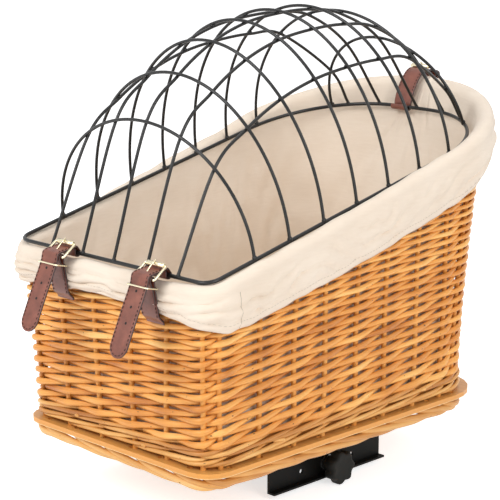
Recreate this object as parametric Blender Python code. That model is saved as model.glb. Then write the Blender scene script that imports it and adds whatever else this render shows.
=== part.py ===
"""Wicker bicycle basket, with a wire dome lid, leather straps and a rack clamp.

Run in Blender 4.5: blender --background --python part.py, or from the text editor.
Metres, +Z up. The low end with two straps faces -Y and the high back faces +Y.
The origin is on the steel mounting plate's underside, where the bicycle rack's tubes bear.
"""
import bmesh
import bpy
import numpy as np
from math import cos, hypot, pi, radians, sin, sqrt
from mathutils import Vector

# Clearances
GAP = 0.0003            # between pieces that touch on the real object
WELD_GAP = 0.0007       # between the middles of two welded wires, beyond their radii
RUN = 0.0004            # round a pin or a wire that turns inside something
OVERRUN = 0.004         # how far a cutter reaches past what it cuts

# Rack clamp, upwards from the origin
PLATE_HALF_WIDTH = 0.074
PLATE_NEAR = 0.055
PLATE_FAR = 0.125
PLATE_THICKNESS = 0.0025
BATTEN_HEIGHT = 0.020
BATTEN_SETBACK = 0.004
BATTEN_DEPTH = 0.030
BATTEN_EDGE = 0.004     # from the plate's end to a batten's side
BATTEN_HALF_LENGTH = PLATE_HALF_WIDTH - BATTEN_SETBACK

# Plywood base board
BOARD_HALF_WIDTH = 0.160
BOARD_NEAR = 0.232
BOARD_FAR = 0.256
BOARD_THICKNESS = 0.006
BOARD_NEAR_RADIUS = 0.032
BOARD_FAR_RADIUS = 0.066
PLATE_TOP = PLATE_THICKNESS
BOARD_BOTTOM = PLATE_TOP + GAP + BATTEN_HEIGHT + GAP
BOARD_TOP = BOARD_BOTTOM + BOARD_THICKNESS

# Wicker wall. Its outer face is a rounded rectangle that grows with the height h above the
# board's underside: size = foot + lean h + flare h squared. A flare is in 1/m.
WALL_FOOT_HALF_WIDTH = 0.156
WALL_FOOT_NEAR = 0.227
WALL_FOOT_FAR = 0.2432
WALL_FOOT_FAR_RADIUS = 0.065
WALL_NEAR_RADIUS = 0.034
SIDE_LEAN_SHARE = 0.030
NEAR_LEAN_SHARE = 0.0465
FAR_LEAN_SHARE = 0.020
FAR_RADIUS_LEAN_SHARE = 0.020
SIDE_FLARE_RADIUS = 2.94     # height over which the flare equals half its own length
FAR_FLARE_RADIUS = 0.877
FAR_CORNER_FLARE_RADIUS = 0.641
WALL_THICKNESS = 0.0125
COURSE_HEIGHT = 0.028
WEAVE_DEPTH_SHARE = 0.5
WALE_HEIGHT = 0.014
WALE_PROUD = 0.0015
FOOT_BORDER_DEPTH = 0.0175
FOOT_BORDER_WIDTH = 0.0135
FOOT_BORDER_PROUD = 0.0020
FOOT_BORDER_ROUND = 0.0035
STAKE_COUNT = 30
STAKE_RADIUS = 0.0033

# Rim: its top rises from the near end to the far end as rise y + sweep y squared
RIM_MIDDLE_HEIGHT = 0.264
RIM_MIDDLE_Y = -0.027
RIM_RISE_SHARE = 0.272
RIM_SWEEP_RADIUS = 6.25
RIM_CUT_SHARES = (0.0, 0.10, 0.20, 0.25, 0.30, 0.35, 0.40, 0.45, 0.50, 0.55, 0.60, 0.65, 0.70,
                  0.75, 0.80, 0.85, 0.90, 1.0)
RIM_BORDER_RADIUS = 0.0075
LINER_THICKNESS = 0.0024
LINER_EASE = 0.0006          # between the liner and the border it folds over
SKIRT_DROP = 0.061
SKIRT_NEAR_DROP = 0.031
SKIRT_FAR_DROP = 0.050
SKIRT_RISE_LENGTH = 0.055    # along the basket, over which the hem climbs to the near end
HEM_TUCK = 0.0005
FLOOR_CORNER = 0.010
FLOOR_CAP_SHARE = 0.55

# Cushion
CUSHION_HEIGHT = 0.034
CUSHION_EDGE_HEIGHT = 0.018
CUSHION_EASE = 0.003
CUSHION_TUCK = 0.007

# Wire lid. Its frame takes its width and ends from the rim and these distances to it.
LID_SIDE_INSET = 0.0158
LID_NEAR_INSET = 0.0011
LID_NEAR_CLEARANCE = 0.0042
LID_FAR_INSET = 0.0325
LID_FAR_DROP = 0.0314
FRAME_NEAR_RADIUS = 0.016
FRAME_FAR_STRAIGHT = 0.028
FRAME_WIRE_RADIUS = 0.0023
HOOP_WIRE_RADIUS = 0.0019
BAR_WIRE_RADIUS = 0.0019
FIRST_HOOP_INSET = 0.0673
HOOP_PITCH = 0.0543
HOOP_HEIGHTS = (0.1355, 0.1715, 0.1914, 0.1981, 0.1938, 0.1827, 0.1610)
HOOP_LEAN_SHARE = 0.150
END_HOOP_INSET = 0.0298
END_HOOP_HEIGHT = 0.1021
END_HOOP_EASE = 0.0023
END_HOOP_LEAN_SHARE = 0.394
BAR_OFFSETS = (-0.098, -0.044, 0.009, 0.063, 0.113)
BAR_FAR_OFFSETS = (-0.093, -0.052, 0.009, 0.054, 0.095)

# Leather straps and their buckles
STRAP_WIDTH = 0.028
STRAP_THICKNESS = 0.0022
LEFT_STRAP_X = -0.0665
RIGHT_STRAP_X = 0.0845
FAR_STRAP_X = -0.0165
BUCKLE_WIRE_RADIUS = 0.0015
BUCKLE_HALF_WIDTH = 0.0163
BUCKLE_CORNER = 0.0022
ROLLER_RADIUS = 0.0030
ROLLER_HALF_LENGTH = 0.0136
KEEPER_WIRE_RADIUS = 0.0010
KEEPER_HALF_WIDTH = 0.0160
PRONG_RADIUS = 0.00095
PRONG_HOLE_HALF_WIDTH = 0.0016
PRONG_OVERHANG = 0.0032

# Places on a strap, as (outward, upward) from the top of the rim that it hangs on
ROLLER_SPOT = (0.0050, 0.0175)
PIVOT_SPOT = (0.0225, 0.0050)
KEEPER_BACK_SPOT = (0.0164, -0.0055)
KEEPER_FRONT_SPOT = (0.0326, -0.0018)
TAIL_SPOTS = ((0.0281, 0.0050), (0.0292, 0.0000), (0.0340, -0.0110), (0.0435, -0.0305),
              (0.0560, -0.0575), (0.0635, -0.0750))
NEAR_ANCHOR_SPOTS = ((0.0062, -0.0470), (0.0068, -0.0445), (0.0094, -0.0418),
                     (0.0124, -0.0388), (0.0139, -0.0350))
FAR_ANCHOR_SPOTS = ((0.0056, -0.0640), (0.0060, -0.0590), (0.0090, -0.0535),
                    (0.0122, -0.0480), (0.0137, -0.0405))
RISE_SPOTS = ((0.0148, -0.0303), (0.0162, -0.0195), (0.0178, -0.0100), (0.0190, -0.0035),
              (0.0195, 0.0015))
RETURN_SPOTS = ((0.0255, 0.0030), (0.0240, -0.0010), (0.0219, -0.0065), (0.0205, -0.0130),
                (0.0190, -0.0210))
FAR_RUN_SPOTS = ((-0.0285, -0.0260), (-0.0250, -0.0150), (-0.0175, -0.0013), (-0.0080, 0.0098))

# Clamp jaws, bolt and knob. Heights are below the plate's underside unless they say otherwise.
JAW_NEAR = 0.064
JAW_FAR = 0.131
JAW_TO_PLATE = 0.010
JAW_INNER_X = PLATE_HALF_WIDTH + JAW_TO_PLATE
JAW_WEB = 0.0028
JAW_LIP = 0.0090
JAW_LIP_THICKNESS = 0.0025
JAW_DEPTH = 0.0524
JAW_TONGUE_REACH = 0.034
JAW_TONGUE_NEAR = 0.012
JAW_TONGUE_FAR = 0.083
JAW_HOLE_RADIUS = 0.0030
JAW_HOLE_SPREAD = 0.0445
BOLT_Y = 0.0355
BOLT_DEPTH = 0.0380
BOLT_RADIUS = 0.0040
BOLT_BEYOND_JAW = 0.0190
BOLT_END_X = JAW_INNER_X + BOLT_BEYOND_JAW
BOLT_HEAD_RADIUS = 0.0095
BOLT_HEAD_HEIGHT = 0.0045
NUT_ACROSS_FLATS = 0.0130
NUT_HEIGHT = 0.0065
WASHER_RADIUS = 0.0108
WASHER_THICKNESS = 0.0016
KNOB_RADIUS = 0.0210
KNOB_LOBES = 7
KNOB_LOBE_DEPTH = 0.0026
KNOB_HUB_RADIUS = 0.0095
KNOB_HUB_LENGTH = 0.0110
KNOB_THICKNESS = 0.0150
KNOB_EDGE = 0.0022
KNOB_FACE_WALL = 0.0030
INSERT_WALL = 0.0014
INSERT_LENGTH = 0.0180

# Screws
BOARD_BOLT_RADIUS = 0.0030
BOARD_BOLT_HEAD_RADIUS = 0.0055
BOARD_BOLT_EDGE = 0.019
BOARD_BOLT_X = PLATE_HALF_WIDTH - BOARD_BOLT_EDGE
TEE_NUT_RADIUS = 0.0085
TEE_NUT_FLANGE = 0.0016
TEE_NUT_BARREL_RADIUS = 0.0043
TEE_NUT_BARREL_LENGTH = 0.0045
JAW_SCREW_RADIUS = 0.0025
JAW_SCREW_HEAD_RADIUS = 0.0047
JAW_SCREW_HEAD_HEIGHT = 0.0026
JAW_SCREW_EDGE = 0.012
JAW_SCREW_X = PLATE_HALF_WIDTH - JAW_SCREW_EDGE
JAW_SCREW_SPREAD = 0.030

COLOURS = {
    "willow": ((0.74, 0.42, 0.16, 1.0), 0.50, 0.0),
    "plywood": ((0.70, 0.45, 0.20, 1.0), 0.55, 0.0),
    "cotton": ((0.84, 0.77, 0.66, 1.0), 0.90, 0.0),
    "leather": ((0.20, 0.075, 0.050, 1.0), 0.45, 0.0),
    "brass": ((0.78, 0.68, 0.42, 1.0), 0.28, 1.0),
    "black_wire": ((0.012, 0.012, 0.013, 1.0), 0.35, 0.6),
    "black_steel": ((0.018, 0.018, 0.019, 1.0), 0.45, 0.5),
    "zinc": ((0.60, 0.60, 0.58, 1.0), 0.35, 1.0),
    "black_plastic": ((0.022, 0.022, 0.021, 1.0), 0.50, 0.0),
}


# Shared tools

def clear_scene():
    """Removes every object that the file opened with."""
    for item in list(bpy.data.objects):
        bpy.data.objects.remove(item)


def finish_material(kind):
    """Gives the named finish, made once."""
    found = bpy.data.materials.get(kind)
    if found:
        return found
    colour, roughness, metallic = COLOURS[kind]
    made = bpy.data.materials.new(kind)
    made.use_nodes = True
    shader = made.node_tree.nodes["Principled BSDF"]
    shader.inputs["Base Color"].default_value = colour
    shader.inputs["Roughness"].default_value = roughness
    shader.inputs["Metallic"].default_value = metallic
    made.diffuse_color = colour
    return made


def add_mesh(name, points, faces, kind, origin=(0.0, 0.0, 0.0), smooth=True):
    """Makes an object from points and faces in world places, with its origin where asked."""
    mesh = bpy.data.meshes.new(name)
    base = Vector(origin)
    mesh.from_pydata([Vector(point) - base for point in points], [], faces)
    item = bpy.data.objects.new(name, mesh)
    item.location = base
    bpy.context.scene.collection.objects.link(item)
    mesh.materials.append(finish_material(kind))
    turn_outward(mesh)
    if smooth:
        mesh.shade_smooth()
        mesh.set_sharp_from_angle(angle=radians(35))
    return item


def turn_outward(mesh):
    """Turns a closed mesh's faces outward."""
    work = bmesh.new()
    work.from_mesh(mesh)
    bmesh.ops.recalc_face_normals(work, faces=work.faces)
    if work.calc_volume(signed=True) < 0:
        bmesh.ops.reverse_faces(work, faces=work.faces)
    work.to_mesh(mesh)
    work.free()


def loft(rings, closed=False):
    """Points and faces through rings of equal length: a closed band, or a body with end caps."""
    count = len(rings[0])
    points = [tuple(point) for ring in rings for point in ring]
    faces = []
    spans = len(rings) if closed else len(rings) - 1
    for row in range(spans):
        low = row * count
        high = ((row + 1) % len(rings)) * count
        for step in range(count):
            after = (step + 1) % count
            faces.append((low + step, low + after, high + after, high + step))
    if not closed:
        faces.append(tuple(reversed(range(count))))
        faces.append(tuple(range((len(rings) - 1) * count, len(rings) * count)))
    return points, faces


def merge(parts):
    """Joins several (points, faces) into one list of each, still as separate solids."""
    points = []
    faces = []
    for some_points, some_faces in parts:
        start = len(points)
        points.extend(some_points)
        faces.extend(tuple(index + start for index in face) for face in some_faces)
    return points, faces


def block(low, high):
    """Points and faces of a box between two corners."""
    ring = [(low[0], low[1]), (high[0], low[1]), (high[0], high[1]), (low[0], high[1])]
    return loft([[(x, y, height) for x, y in ring] for height in (low[2], high[2])])


def turned(profile, axis, centre, sides, phase=0.0):
    """A solid of revolution: profile is (distance along axis, radius), closed by end caps."""
    along, across, up = axis_frame(axis)
    rings = []
    for distance, radius in profile:
        ring = []
        for step in range(sides):
            angle = phase + 2 * pi * step / sides
            ring.append(Vector(centre) + along * distance
                        + (across * cos(angle) + up * sin(angle)) * radius)
        rings.append(ring)
    return loft(rings)


def sleeve(inner, outer, start, end, axis, centre, sides):
    """A plain tube with square ends."""
    along, across, up = axis_frame(axis)
    rings = []
    for distance, radius in ((start, inner), (start, outer), (end, outer), (end, inner)):
        ring = []
        for step in range(sides):
            angle = 2 * pi * step / sides
            ring.append(Vector(centre) + along * distance
                        + (across * cos(angle) + up * sin(angle)) * radius)
        rings.append(ring)
    return loft(rings, closed=True)


def axis_frame(axis):
    """Three square directions, the first along the named axis."""
    turns = {"X": (0, 1, 2), "Y": (1, 2, 0), "Z": (2, 0, 1)}
    unit = [Vector((1, 0, 0)), Vector((0, 1, 0)), Vector((0, 0, 1))]
    return [unit[index] for index in turns[axis]]


def combine(item, points, faces, operation):
    """Joins closed solids to an object, or takes them out of it, and applies the change."""
    other = add_mesh(item.name + "_tool", points, faces, item.data.materials[0].name,
                     smooth=False)
    other.hide_render = True
    other.display_type = "WIRE"
    change = item.modifiers.new("combine", "BOOLEAN")
    change.operation = operation
    change.solver = "EXACT"
    change.object = other
    bpy.context.view_layer.update()
    ready = item.evaluated_get(bpy.context.evaluated_depsgraph_get())
    mesh = bpy.data.meshes.new_from_object(ready)
    item.modifiers.clear()
    old = item.data
    item.data = mesh
    mesh.name = item.name
    bpy.data.meshes.remove(old)
    bpy.data.objects.remove(other)
    mesh.shade_smooth()
    mesh.set_sharp_from_angle(angle=radians(35))


def cut(item, points, faces):
    """Takes closed solids out of an object."""
    combine(item, points, faces, "DIFFERENCE")


def smooth_path(spots, per_span):
    """Points on a Catmull-Rom curve through the spots, ends included."""
    spots = [np.array(spot, dtype=float) for spot in spots]
    padded = [2 * spots[0] - spots[1]] + spots + [2 * spots[-1] - spots[-2]]
    path = []
    for index in range(1, len(padded) - 2):
        before, start, end, after = padded[index - 1:index + 3]
        for step in range(per_span):
            share = step / per_span
            path.append(0.5 * (2 * start + (end - before) * share
                               + (2 * before - 5 * start + 4 * end - after) * share ** 2
                               + (3 * start - before - 3 * end + after) * share ** 3))
    path.append(spots[-1])
    return path


def wire(name, path, radius, kind, closed=False, origin=(0.0, 0.0, 0.0), fineness=2):
    """A round wire along a path, as a curve with a bevel and filled ends."""
    curve = bpy.data.curves.new(name, "CURVE")
    curve.dimensions = "3D"
    curve.bevel_depth = radius
    curve.bevel_resolution = fineness
    curve.use_fill_caps = True
    line = curve.splines.new("POLY")
    line.points.add(len(path) - 1)
    base = Vector(origin)
    for spot, place in zip(line.points, path):
        spot.co = (*(Vector(place) - base), 1.0)
    line.use_cyclic_u = closed
    line.use_smooth = True
    curve.materials.append(finish_material(kind))
    item = bpy.data.objects.new(name, curve)
    item.location = base
    bpy.context.scene.collection.objects.link(item)
    return item


# The basket's outlines

RING_STEPS = (3, 4, 4, 6, 2)     # half a ring: near end, near corner, side, far corner, far end
WALL_STEPS = (4, 4, 12, 6, 4)


def outline(half_width, near, far, near_radius, far_radius, steps=RING_STEPS):
    """A rounded rectangle as x and y arrays, from the near middle anticlockwise from above.

    Each size may be one number or one for each point, so a ring can climb as it goes round.
    """
    right = []
    for kind, count in zip(("near", "near_corner", "side", "far_corner", "far"), steps):
        for step in range(count):
            right.append((kind, step / count))
    kinds = [(kind, share, 1.0) for kind, share in right] + [("far", 1.0, 1.0)]
    kinds += [(kind, share, -1.0) for kind, share in reversed(right[1:])]
    count = len(kinds)
    sizes = [np.broadcast_to(np.asarray(size, dtype=float), (count,))
             for size in (half_width, near, far, near_radius, far_radius)]
    across = np.zeros(count)
    along = np.zeros(count)
    for index, (kind, share, side) in enumerate(kinds):
        half, front, back, front_round, back_round = (size[index] for size in sizes)
        if kind == "near":
            x, y = (half - front_round) * share, -front
        elif kind == "near_corner":
            angle = share * pi / 2
            x = half - front_round + front_round * sin(angle)
            y = -front + front_round - front_round * cos(angle)
        elif kind == "side":
            x = half
            y = (-front + front_round) * (1 - share) + (back - back_round) * share
        elif kind == "far_corner":
            angle = share * pi / 2
            x = half - back_round + back_round * cos(angle)
            y = back - back_round + back_round * sin(angle)
        else:
            x, y = (half - back_round) * (1 - share), back
        across[index] = side * x
        along[index] = y
    return across, along


RING_COUNT = 2 * sum(RING_STEPS)


def rim_top(y):
    """Height of the liner's crest above the board's underside, at a place along the basket."""
    run = y - RIM_MIDDLE_Y
    return RIM_MIDDLE_HEIGHT + RIM_RISE_SHARE * run + run ** 2 / (2 * RIM_SWEEP_RADIUS)


def wall_far(height):
    """The far face's place at a height."""
    return WALL_FOOT_FAR + FAR_LEAN_SHARE * height + height ** 2 / (2 * FAR_FLARE_RADIUS)


def wall_half_width(height):
    """Half the wall's width at a height."""
    return WALL_FOOT_HALF_WIDTH + SIDE_LEAN_SHARE * height + height ** 2 / (2 * SIDE_FLARE_RADIUS)


def wall_ring(height, inset, steps=RING_STEPS):
    """The wall's outline at a height above the board's underside, drawn in by an inset."""
    half = wall_half_width(height)
    near = WALL_FOOT_NEAR + NEAR_LEAN_SHARE * height
    radius = (WALL_FOOT_FAR_RADIUS + FAR_RADIUS_LEAN_SHARE * height
              + height ** 2 / (2 * FAR_CORNER_FLARE_RADIUS))
    return outline(half - inset, near - inset, wall_far(height) - inset,
                   WALL_NEAR_RADIUS - inset, radius - inset, steps)


def wall_band(inset, foot_height, share, drop):
    """A ring on the wall: share 0 is at foot_height, and 1 is drop above or below the rim."""
    height = np.full(RING_COUNT, float(foot_height))
    for _ in range(6):
        across, along = wall_ring(height, inset)
        below = drop(along) if callable(drop) else drop
        height = foot_height + share * (rim_top(along) + below - foot_height)
    return np.column_stack([across, along, height + BOARD_BOTTOM])


def rim_border_drop():
    """How far the border's middle lies below the top of the liner."""
    return RIM_BORDER_RADIUS + LINER_EASE + LINER_THICKNESS


RIM_INSET = WALL_THICKNESS / 2


def crest_place(side):
    """The rim's middle at an end: y, and the liner's top there. side is -1 near and 1 far."""
    y = -WALL_FOOT_NEAR if side < 0 else WALL_FOOT_FAR
    for _ in range(8):
        height = rim_top(y) - rim_border_drop()
        if side < 0:
            y = -(WALL_FOOT_NEAR + NEAR_LEAN_SHARE * height - RIM_INSET)
        else:
            y = wall_far(height) - RIM_INSET
    return y, rim_top(y) + BOARD_BOTTOM


# Base board, stakes and borders

def wall_middle_path(height, count):
    """Evenly spaced places round the wall's middle line at a height."""
    across, along = wall_ring(height, RIM_INSET)
    loop = np.column_stack([across, along])
    steps = np.linalg.norm(np.roll(loop, -1, axis=0) - loop, axis=1)
    reach = np.concatenate([[0.0], np.cumsum(steps)])
    closed = np.vstack([loop, loop[:1]])
    wanted = (np.arange(count) + 0.5) / count * reach[-1]
    return [(np.interp(place, reach, closed[:, 0]), np.interp(place, reach, closed[:, 1]))
            for place in wanted]


def batten_ys():
    """Middle lines of the two battens."""
    inset = BATTEN_EDGE + BATTEN_DEPTH / 2
    return -PLATE_NEAR + inset, PLATE_FAR - inset


def board_bolt_places():
    """Where the four board bolts stand."""
    return [(side * BOARD_BOLT_X, y) for y in batten_ys() for side in (-1, 1)]


STAKE_SIDES = 6
BOLT_SIDES = 8


def make_board():
    """Plywood board with a row of stake holes and four bolt holes."""
    across, along = outline(BOARD_HALF_WIDTH, BOARD_NEAR, BOARD_FAR,
                            BOARD_NEAR_RADIUS, BOARD_FAR_RADIUS)
    rings = [np.column_stack([across, along, np.full(RING_COUNT, height)])
             for height in (BOARD_BOTTOM, BOARD_TOP)]
    board = add_mesh("base_board", *loft(rings), "plywood")
    cutters = []
    middle = (BOARD_BOTTOM + BOARD_TOP) / 2
    reach = BOARD_THICKNESS / 2 + OVERRUN
    for x, y in wall_middle_path(0.0, STAKE_COUNT):
        cutters.append(turned([(-reach, STAKE_RADIUS + GAP), (reach, STAKE_RADIUS + GAP)],
                              "Z", (x, y, middle), STAKE_SIDES))
    barrel = TEE_NUT_BARREL_RADIUS + GAP
    for x, y in board_bolt_places():
        cutters.append(turned([(-reach, barrel), (reach, barrel)],
                              "Z", (x, y, middle), BOLT_SIDES))
    cut(board, *merge(cutters))


def make_foot_border():
    """The plaited border under the board, made of the stakes' ends, with the stakes themselves.

    The stakes pass up through the board's holes to the wale, as one body with the border.
    """
    outer = -FOOT_BORDER_PROUD
    inner = outer + FOOT_BORDER_WIDTH
    curve = FOOT_BORDER_ROUND
    section = [(inner, 0.0), (outer + curve, 0.0), (outer, -curve),
               (outer, curve - FOOT_BORDER_DEPTH), (outer + curve, -FOOT_BORDER_DEPTH),
               (inner - curve, -FOOT_BORDER_DEPTH), (inner, curve - FOOT_BORDER_DEPTH)]
    rings = []
    for inset, height in section:
        across, along = wall_ring(0.0, inset)
        rings.append(np.column_stack([across, along,
                                      np.full(RING_COUNT, BOARD_BOTTOM - GAP + height)]))
    border = add_mesh("foot_border", *loft(rings, closed=True), "willow")
    stakes = []
    for x, y in wall_middle_path(0.0, STAKE_COUNT):
        stakes.append(turned([(-FOOT_BORDER_DEPTH / 2, STAKE_RADIUS),
                              (BOARD_THICKNESS, STAKE_RADIUS)],
                             "Z", (x, y, BOARD_BOTTOM), STAKE_SIDES))
    combine(border, *merge(stakes), operation="UNION")


def make_wale():
    """The band of twisted rods on top of the board."""
    foot = BOARD_THICKNESS + GAP
    rings = []
    for inset, height in ((WALL_THICKNESS, 0.0), (0.0, 0.0), (-WALE_PROUD, WALE_HEIGHT / 2),
                          (0.0, WALE_HEIGHT), (WALL_THICKNESS, WALE_HEIGHT)):
        rings.append(wall_band(inset, foot + height, 0.0, 0.0))
    add_mesh("base_wale", *loft(rings, closed=True), "willow")


INNER_LEVELS = 7


def level_ring(height, inset):
    """The wall's outline at one height, as points, with a column at and between the stakes."""
    across, along = wall_ring(height, inset, WALL_STEPS)
    return np.column_stack([across, along, np.full(len(across), BOARD_BOTTOM + height)])


def course_inset(number):
    """How deep each column of a course lies: in front of a stake, behind the next, and so on."""
    column = np.arange(2 * STAKE_COUNT)
    stake = (column - 1) // 2
    behind = (stake + number) % 2
    return WEAVE_DEPTH_SHARE * WALL_THICKNESS * np.where(column % 2 == 1, behind, 1 / 2)


def make_wall():
    """The woven wall, from the wale to just under the rim border.

    Each course stands for four rods. It passes in front of one stake and behind the next, and
    the next course does the reverse. Courses are level, and the rising rim cuts across them.
    """
    foot = BOARD_THICKNESS + GAP + WALE_HEIGHT + GAP
    top = -rim_border_drop() - RIM_BORDER_RADIUS - GAP
    middles = [foot + COURSE_HEIGHT / 2]
    while BOARD_BOTTOM + middles[-1] < crest_place(1)[1]:
        middles.append(middles[-1] + COURSE_HEIGHT)
    rings = [level_ring(foot, 0.0)]
    rings += [level_ring(height, course_inset(number)) for number, height in enumerate(middles)]
    rings += [level_ring(height, WALL_THICKNESS)
              for height in np.linspace(middles[-1], foot, INNER_LEVELS)]
    wall = add_mesh("wicker_wall", *loft(rings, closed=True), "willow")
    reach = 2 * (WALL_FOOT_NEAR + WALL_FOOT_FAR)
    slope = []
    for share in RIM_CUT_SHARES:
        y = (share - 1 / 2) * reach
        slope.append((y, BOARD_BOTTOM + rim_top(y) + top))
    above = [(slope[-1][0], 2 * crest_place(1)[1]), (slope[0][0], 2 * crest_place(1)[1])]
    profile = slope + above
    cut(wall, *loft([[(side * reach, y, height) for y, height in profile] for side in (-1, 1)]))


def make_rim_border():
    """The rolled border on the wall's top, inside the liner's fold."""
    rings = []
    sides = 8
    for step in range(sides):
        angle = 2 * pi * step / sides
        rings.append(wall_band(RIM_INSET + RIM_BORDER_RADIUS * cos(angle), 0.0, 1.0,
                               RIM_BORDER_RADIUS * sin(angle) - rim_border_drop()))
    add_mesh("rim_border", *loft(rings, closed=True), "willow")


# Liner and cushion

def fold_radius():
    """Radius of the liner's middle surface where it folds over the border."""
    return RIM_BORDER_RADIUS + LINER_EASE + LINER_THICKNESS / 2


def liner_floor_height():
    """Middle of the liner's floor above the board's underside."""
    return BOARD_THICKNESS + GAP + TEE_NUT_FLANGE + GAP + LINER_THICKNESS / 2


def hem_level(y):
    """The skirt's hem below the rim's top, at places along the basket. It climbs at both ends."""
    near = smooth_step((WALL_FOOT_NEAR + y) / SKIRT_RISE_LENGTH)
    far = smooth_step((y - WALL_FOOT_FAR) / SKIRT_RISE_LENGTH)
    drop = SKIRT_NEAR_DROP + (SKIRT_DROP - SKIRT_NEAR_DROP) * near
    return (SKIRT_DROP - SKIRT_FAR_DROP) * far - drop


def smooth_step(share):
    """Rises from 0 to 1 with level ends as its share does."""
    share = np.clip(share, 0.0, 1.0)
    return share ** 2 * (3 - 2 * share)


def drawn_in(ring, share):
    """A level ring made smaller about its middle."""
    middle = (ring.max(axis=0) + ring.min(axis=0)) / 2
    return middle + (ring - middle) * share


FOLD_STEPS = 4
LINER_LEVEL_SHARES = (0.26, 0.50, 0.72, 0.88)


def liner_side(side):
    """Rings of one face of the liner, from its floor to its hem. side 1 faces the inside."""
    shift = side * LINER_THICKNESS / 2
    floor = liner_floor_height()
    inner = RIM_INSET + fold_radius()
    corner_ring = wall_band(inner + FLOOR_CORNER, floor + shift, 0.0, 0.0)
    rings = [drawn_in(corner_ring, FLOOR_CAP_SHARE), corner_ring,
             wall_band(inner + shift, floor + FLOOR_CORNER, 0.0, 0.0)]
    fold_middle = -rim_border_drop()
    for share in LINER_LEVEL_SHARES:
        rings.append(wall_band(inner + shift, floor + FLOOR_CORNER, share, fold_middle))
    for step in range(FOLD_STEPS + 1):
        angle = pi * step / FOLD_STEPS
        radius = fold_radius() + shift
        rings.append(wall_band(RIM_INSET + radius * cos(angle), 0.0, 1.0,
                               fold_middle + radius * sin(angle)))
    outer = RIM_INSET - fold_radius()
    rings.append(wall_band(outer - shift, 0.0, 1.0, lambda y: (fold_middle + hem_level(y)) / 2))
    rings.append(wall_band(outer + HEM_TUCK - shift, 0.0, 1.0, hem_level))
    return rings


def make_liner():
    """Cotton liner: a cup inside the basket, folded over the rim into an outer skirt."""
    rings = liner_side(1) + list(reversed(liner_side(-1)))
    add_mesh("liner", *loft(rings), "cotton")


CUSHION_SHARES = (0.0, 0.35, 0.62, 0.82, 0.94, 1.0)


def make_cushion():
    """Loose seat cushion: a crowned form whose sides draw in between its corners."""
    floor = liner_floor_height() + LINER_THICKNESS / 2 + GAP
    edge_inset = RIM_INSET + fold_radius() + LINER_THICKNESS / 2 + CUSHION_EASE
    across, along = wall_ring(floor + FLOOR_CORNER, edge_inset)
    middle_y = (along.max() + along.min()) / 2
    corner_share = np.abs(across / across.max() * (along - middle_y) / (along.max() - middle_y))
    drawn = CUSHION_TUCK * (1 - np.clip(corner_share / corner_share.max(), 0, 1))
    length = np.hypot(across, along - middle_y)
    factor = (length - drawn) / length

    def level(share, height):
        x = across * factor * share
        y = middle_y + (along - middle_y) * factor * share
        return np.column_stack([x, y, np.full(RING_COUNT, BOARD_BOTTOM + height)])

    rings = [level(0.90, floor), level(0.975, floor + CUSHION_EDGE_HEIGHT * 0.22),
             level(1.0, floor + CUSHION_EDGE_HEIGHT * 0.5)]
    for share in reversed(CUSHION_SHARES[1:]):
        rise = sqrt(1 - share ** 2.6) if share < 1.0 else 0.0
        height = CUSHION_EDGE_HEIGHT * 0.75 + (CUSHION_HEIGHT - CUSHION_EDGE_HEIGHT * 0.75) * rise
        rings.append(level(share * 0.99, floor + height))
    add_mesh("seat_cushion", *loft(rings), "cotton")


# Wire lid

def frame_half_width():
    """Half the lid's width, inside the liner at the middle of the rim."""
    return wall_half_width(RIM_MIDDLE_HEIGHT) - LID_SIDE_INSET


def frame_far_radius():
    """Radius of the frame's two far corners."""
    return frame_half_width() - FRAME_FAR_STRAIGHT


def frame_end(side):
    """The middle of the frame wire at an end: y and height. side is -1 near and 1 far."""
    y, top = crest_place(side)
    if side < 0:
        return y + LID_NEAR_INSET, top + LID_NEAR_CLEARANCE + FRAME_WIRE_RADIUS
    return y - LID_FAR_INSET, top - LID_FAR_DROP


def frame_height(y):
    """Height of the lid's frame wire at a place along it."""
    near_y, near_height = frame_end(-1)
    far_y, far_height = frame_end(1)
    return near_height + (y - near_y) * (far_height - near_height) / (far_y - near_y)


def frame_edge(x):
    """The far edge of the frame at a distance from the middle."""
    radius = frame_far_radius()
    over = max(abs(x) - FRAME_FAR_STRAIGHT, 0.0)
    return frame_end(1)[0] - radius + sqrt(radius ** 2 - over ** 2)


def frame_reach(y):
    """Half the frame's width at a place on its far curve."""
    radius = frame_far_radius()
    over = y - (frame_end(1)[0] - radius)
    return FRAME_FAR_STRAIGHT + sqrt(radius ** 2 - over ** 2)


def make_lid_frame(axis_place):
    """The thick closed wire round the lid's foot."""
    across, along = outline(frame_half_width(), -frame_end(-1)[0], frame_end(1)[0],
                            FRAME_NEAR_RADIUS, frame_far_radius())
    path = [(x, y, frame_height(y)) for x, y in zip(across, along)]
    wire("lid_frame", path, FRAME_WIRE_RADIUS, "black_wire", closed=True, origin=axis_place)


def hoop_sizes():
    """For each hoop: its foot's y, height, half width and forward lean."""
    first_y = frame_end(-1)[0] + FIRST_HOOP_INSET
    rows = [(first_y + index * HOOP_PITCH, height, frame_half_width(), HOOP_LEAN_SHARE)
            for index, height in enumerate(HOOP_HEIGHTS)]
    end_y = frame_end(1)[0] - END_HOOP_INSET
    rows.append((end_y, END_HOOP_HEIGHT, frame_reach(end_y) - END_HOOP_EASE,
                 END_HOOP_LEAN_SHARE))
    return rows


HOOP_STEPS = 20


def make_hoops(axis_place):
    """Eight arched wires across the lid, each half an ellipse that leans to the near end."""
    for number, (foot_y, height, half_width, lean) in enumerate(hoop_sizes(), start=1):
        foot_z = frame_height(foot_y)
        first = np.arcsin((FRAME_WIRE_RADIUS + GAP) / height)
        path = []
        for step in range(HOOP_STEPS + 1):
            angle = first + (pi - 2 * first) * step / HOOP_STEPS
            rise = height * sin(angle)
            path.append((-half_width * cos(angle), foot_y - lean * rise, foot_z + rise))
        wire(f"hoop_{number}", path, HOOP_WIRE_RADIUS, "black_wire", origin=axis_place,
             fineness=1)


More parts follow.
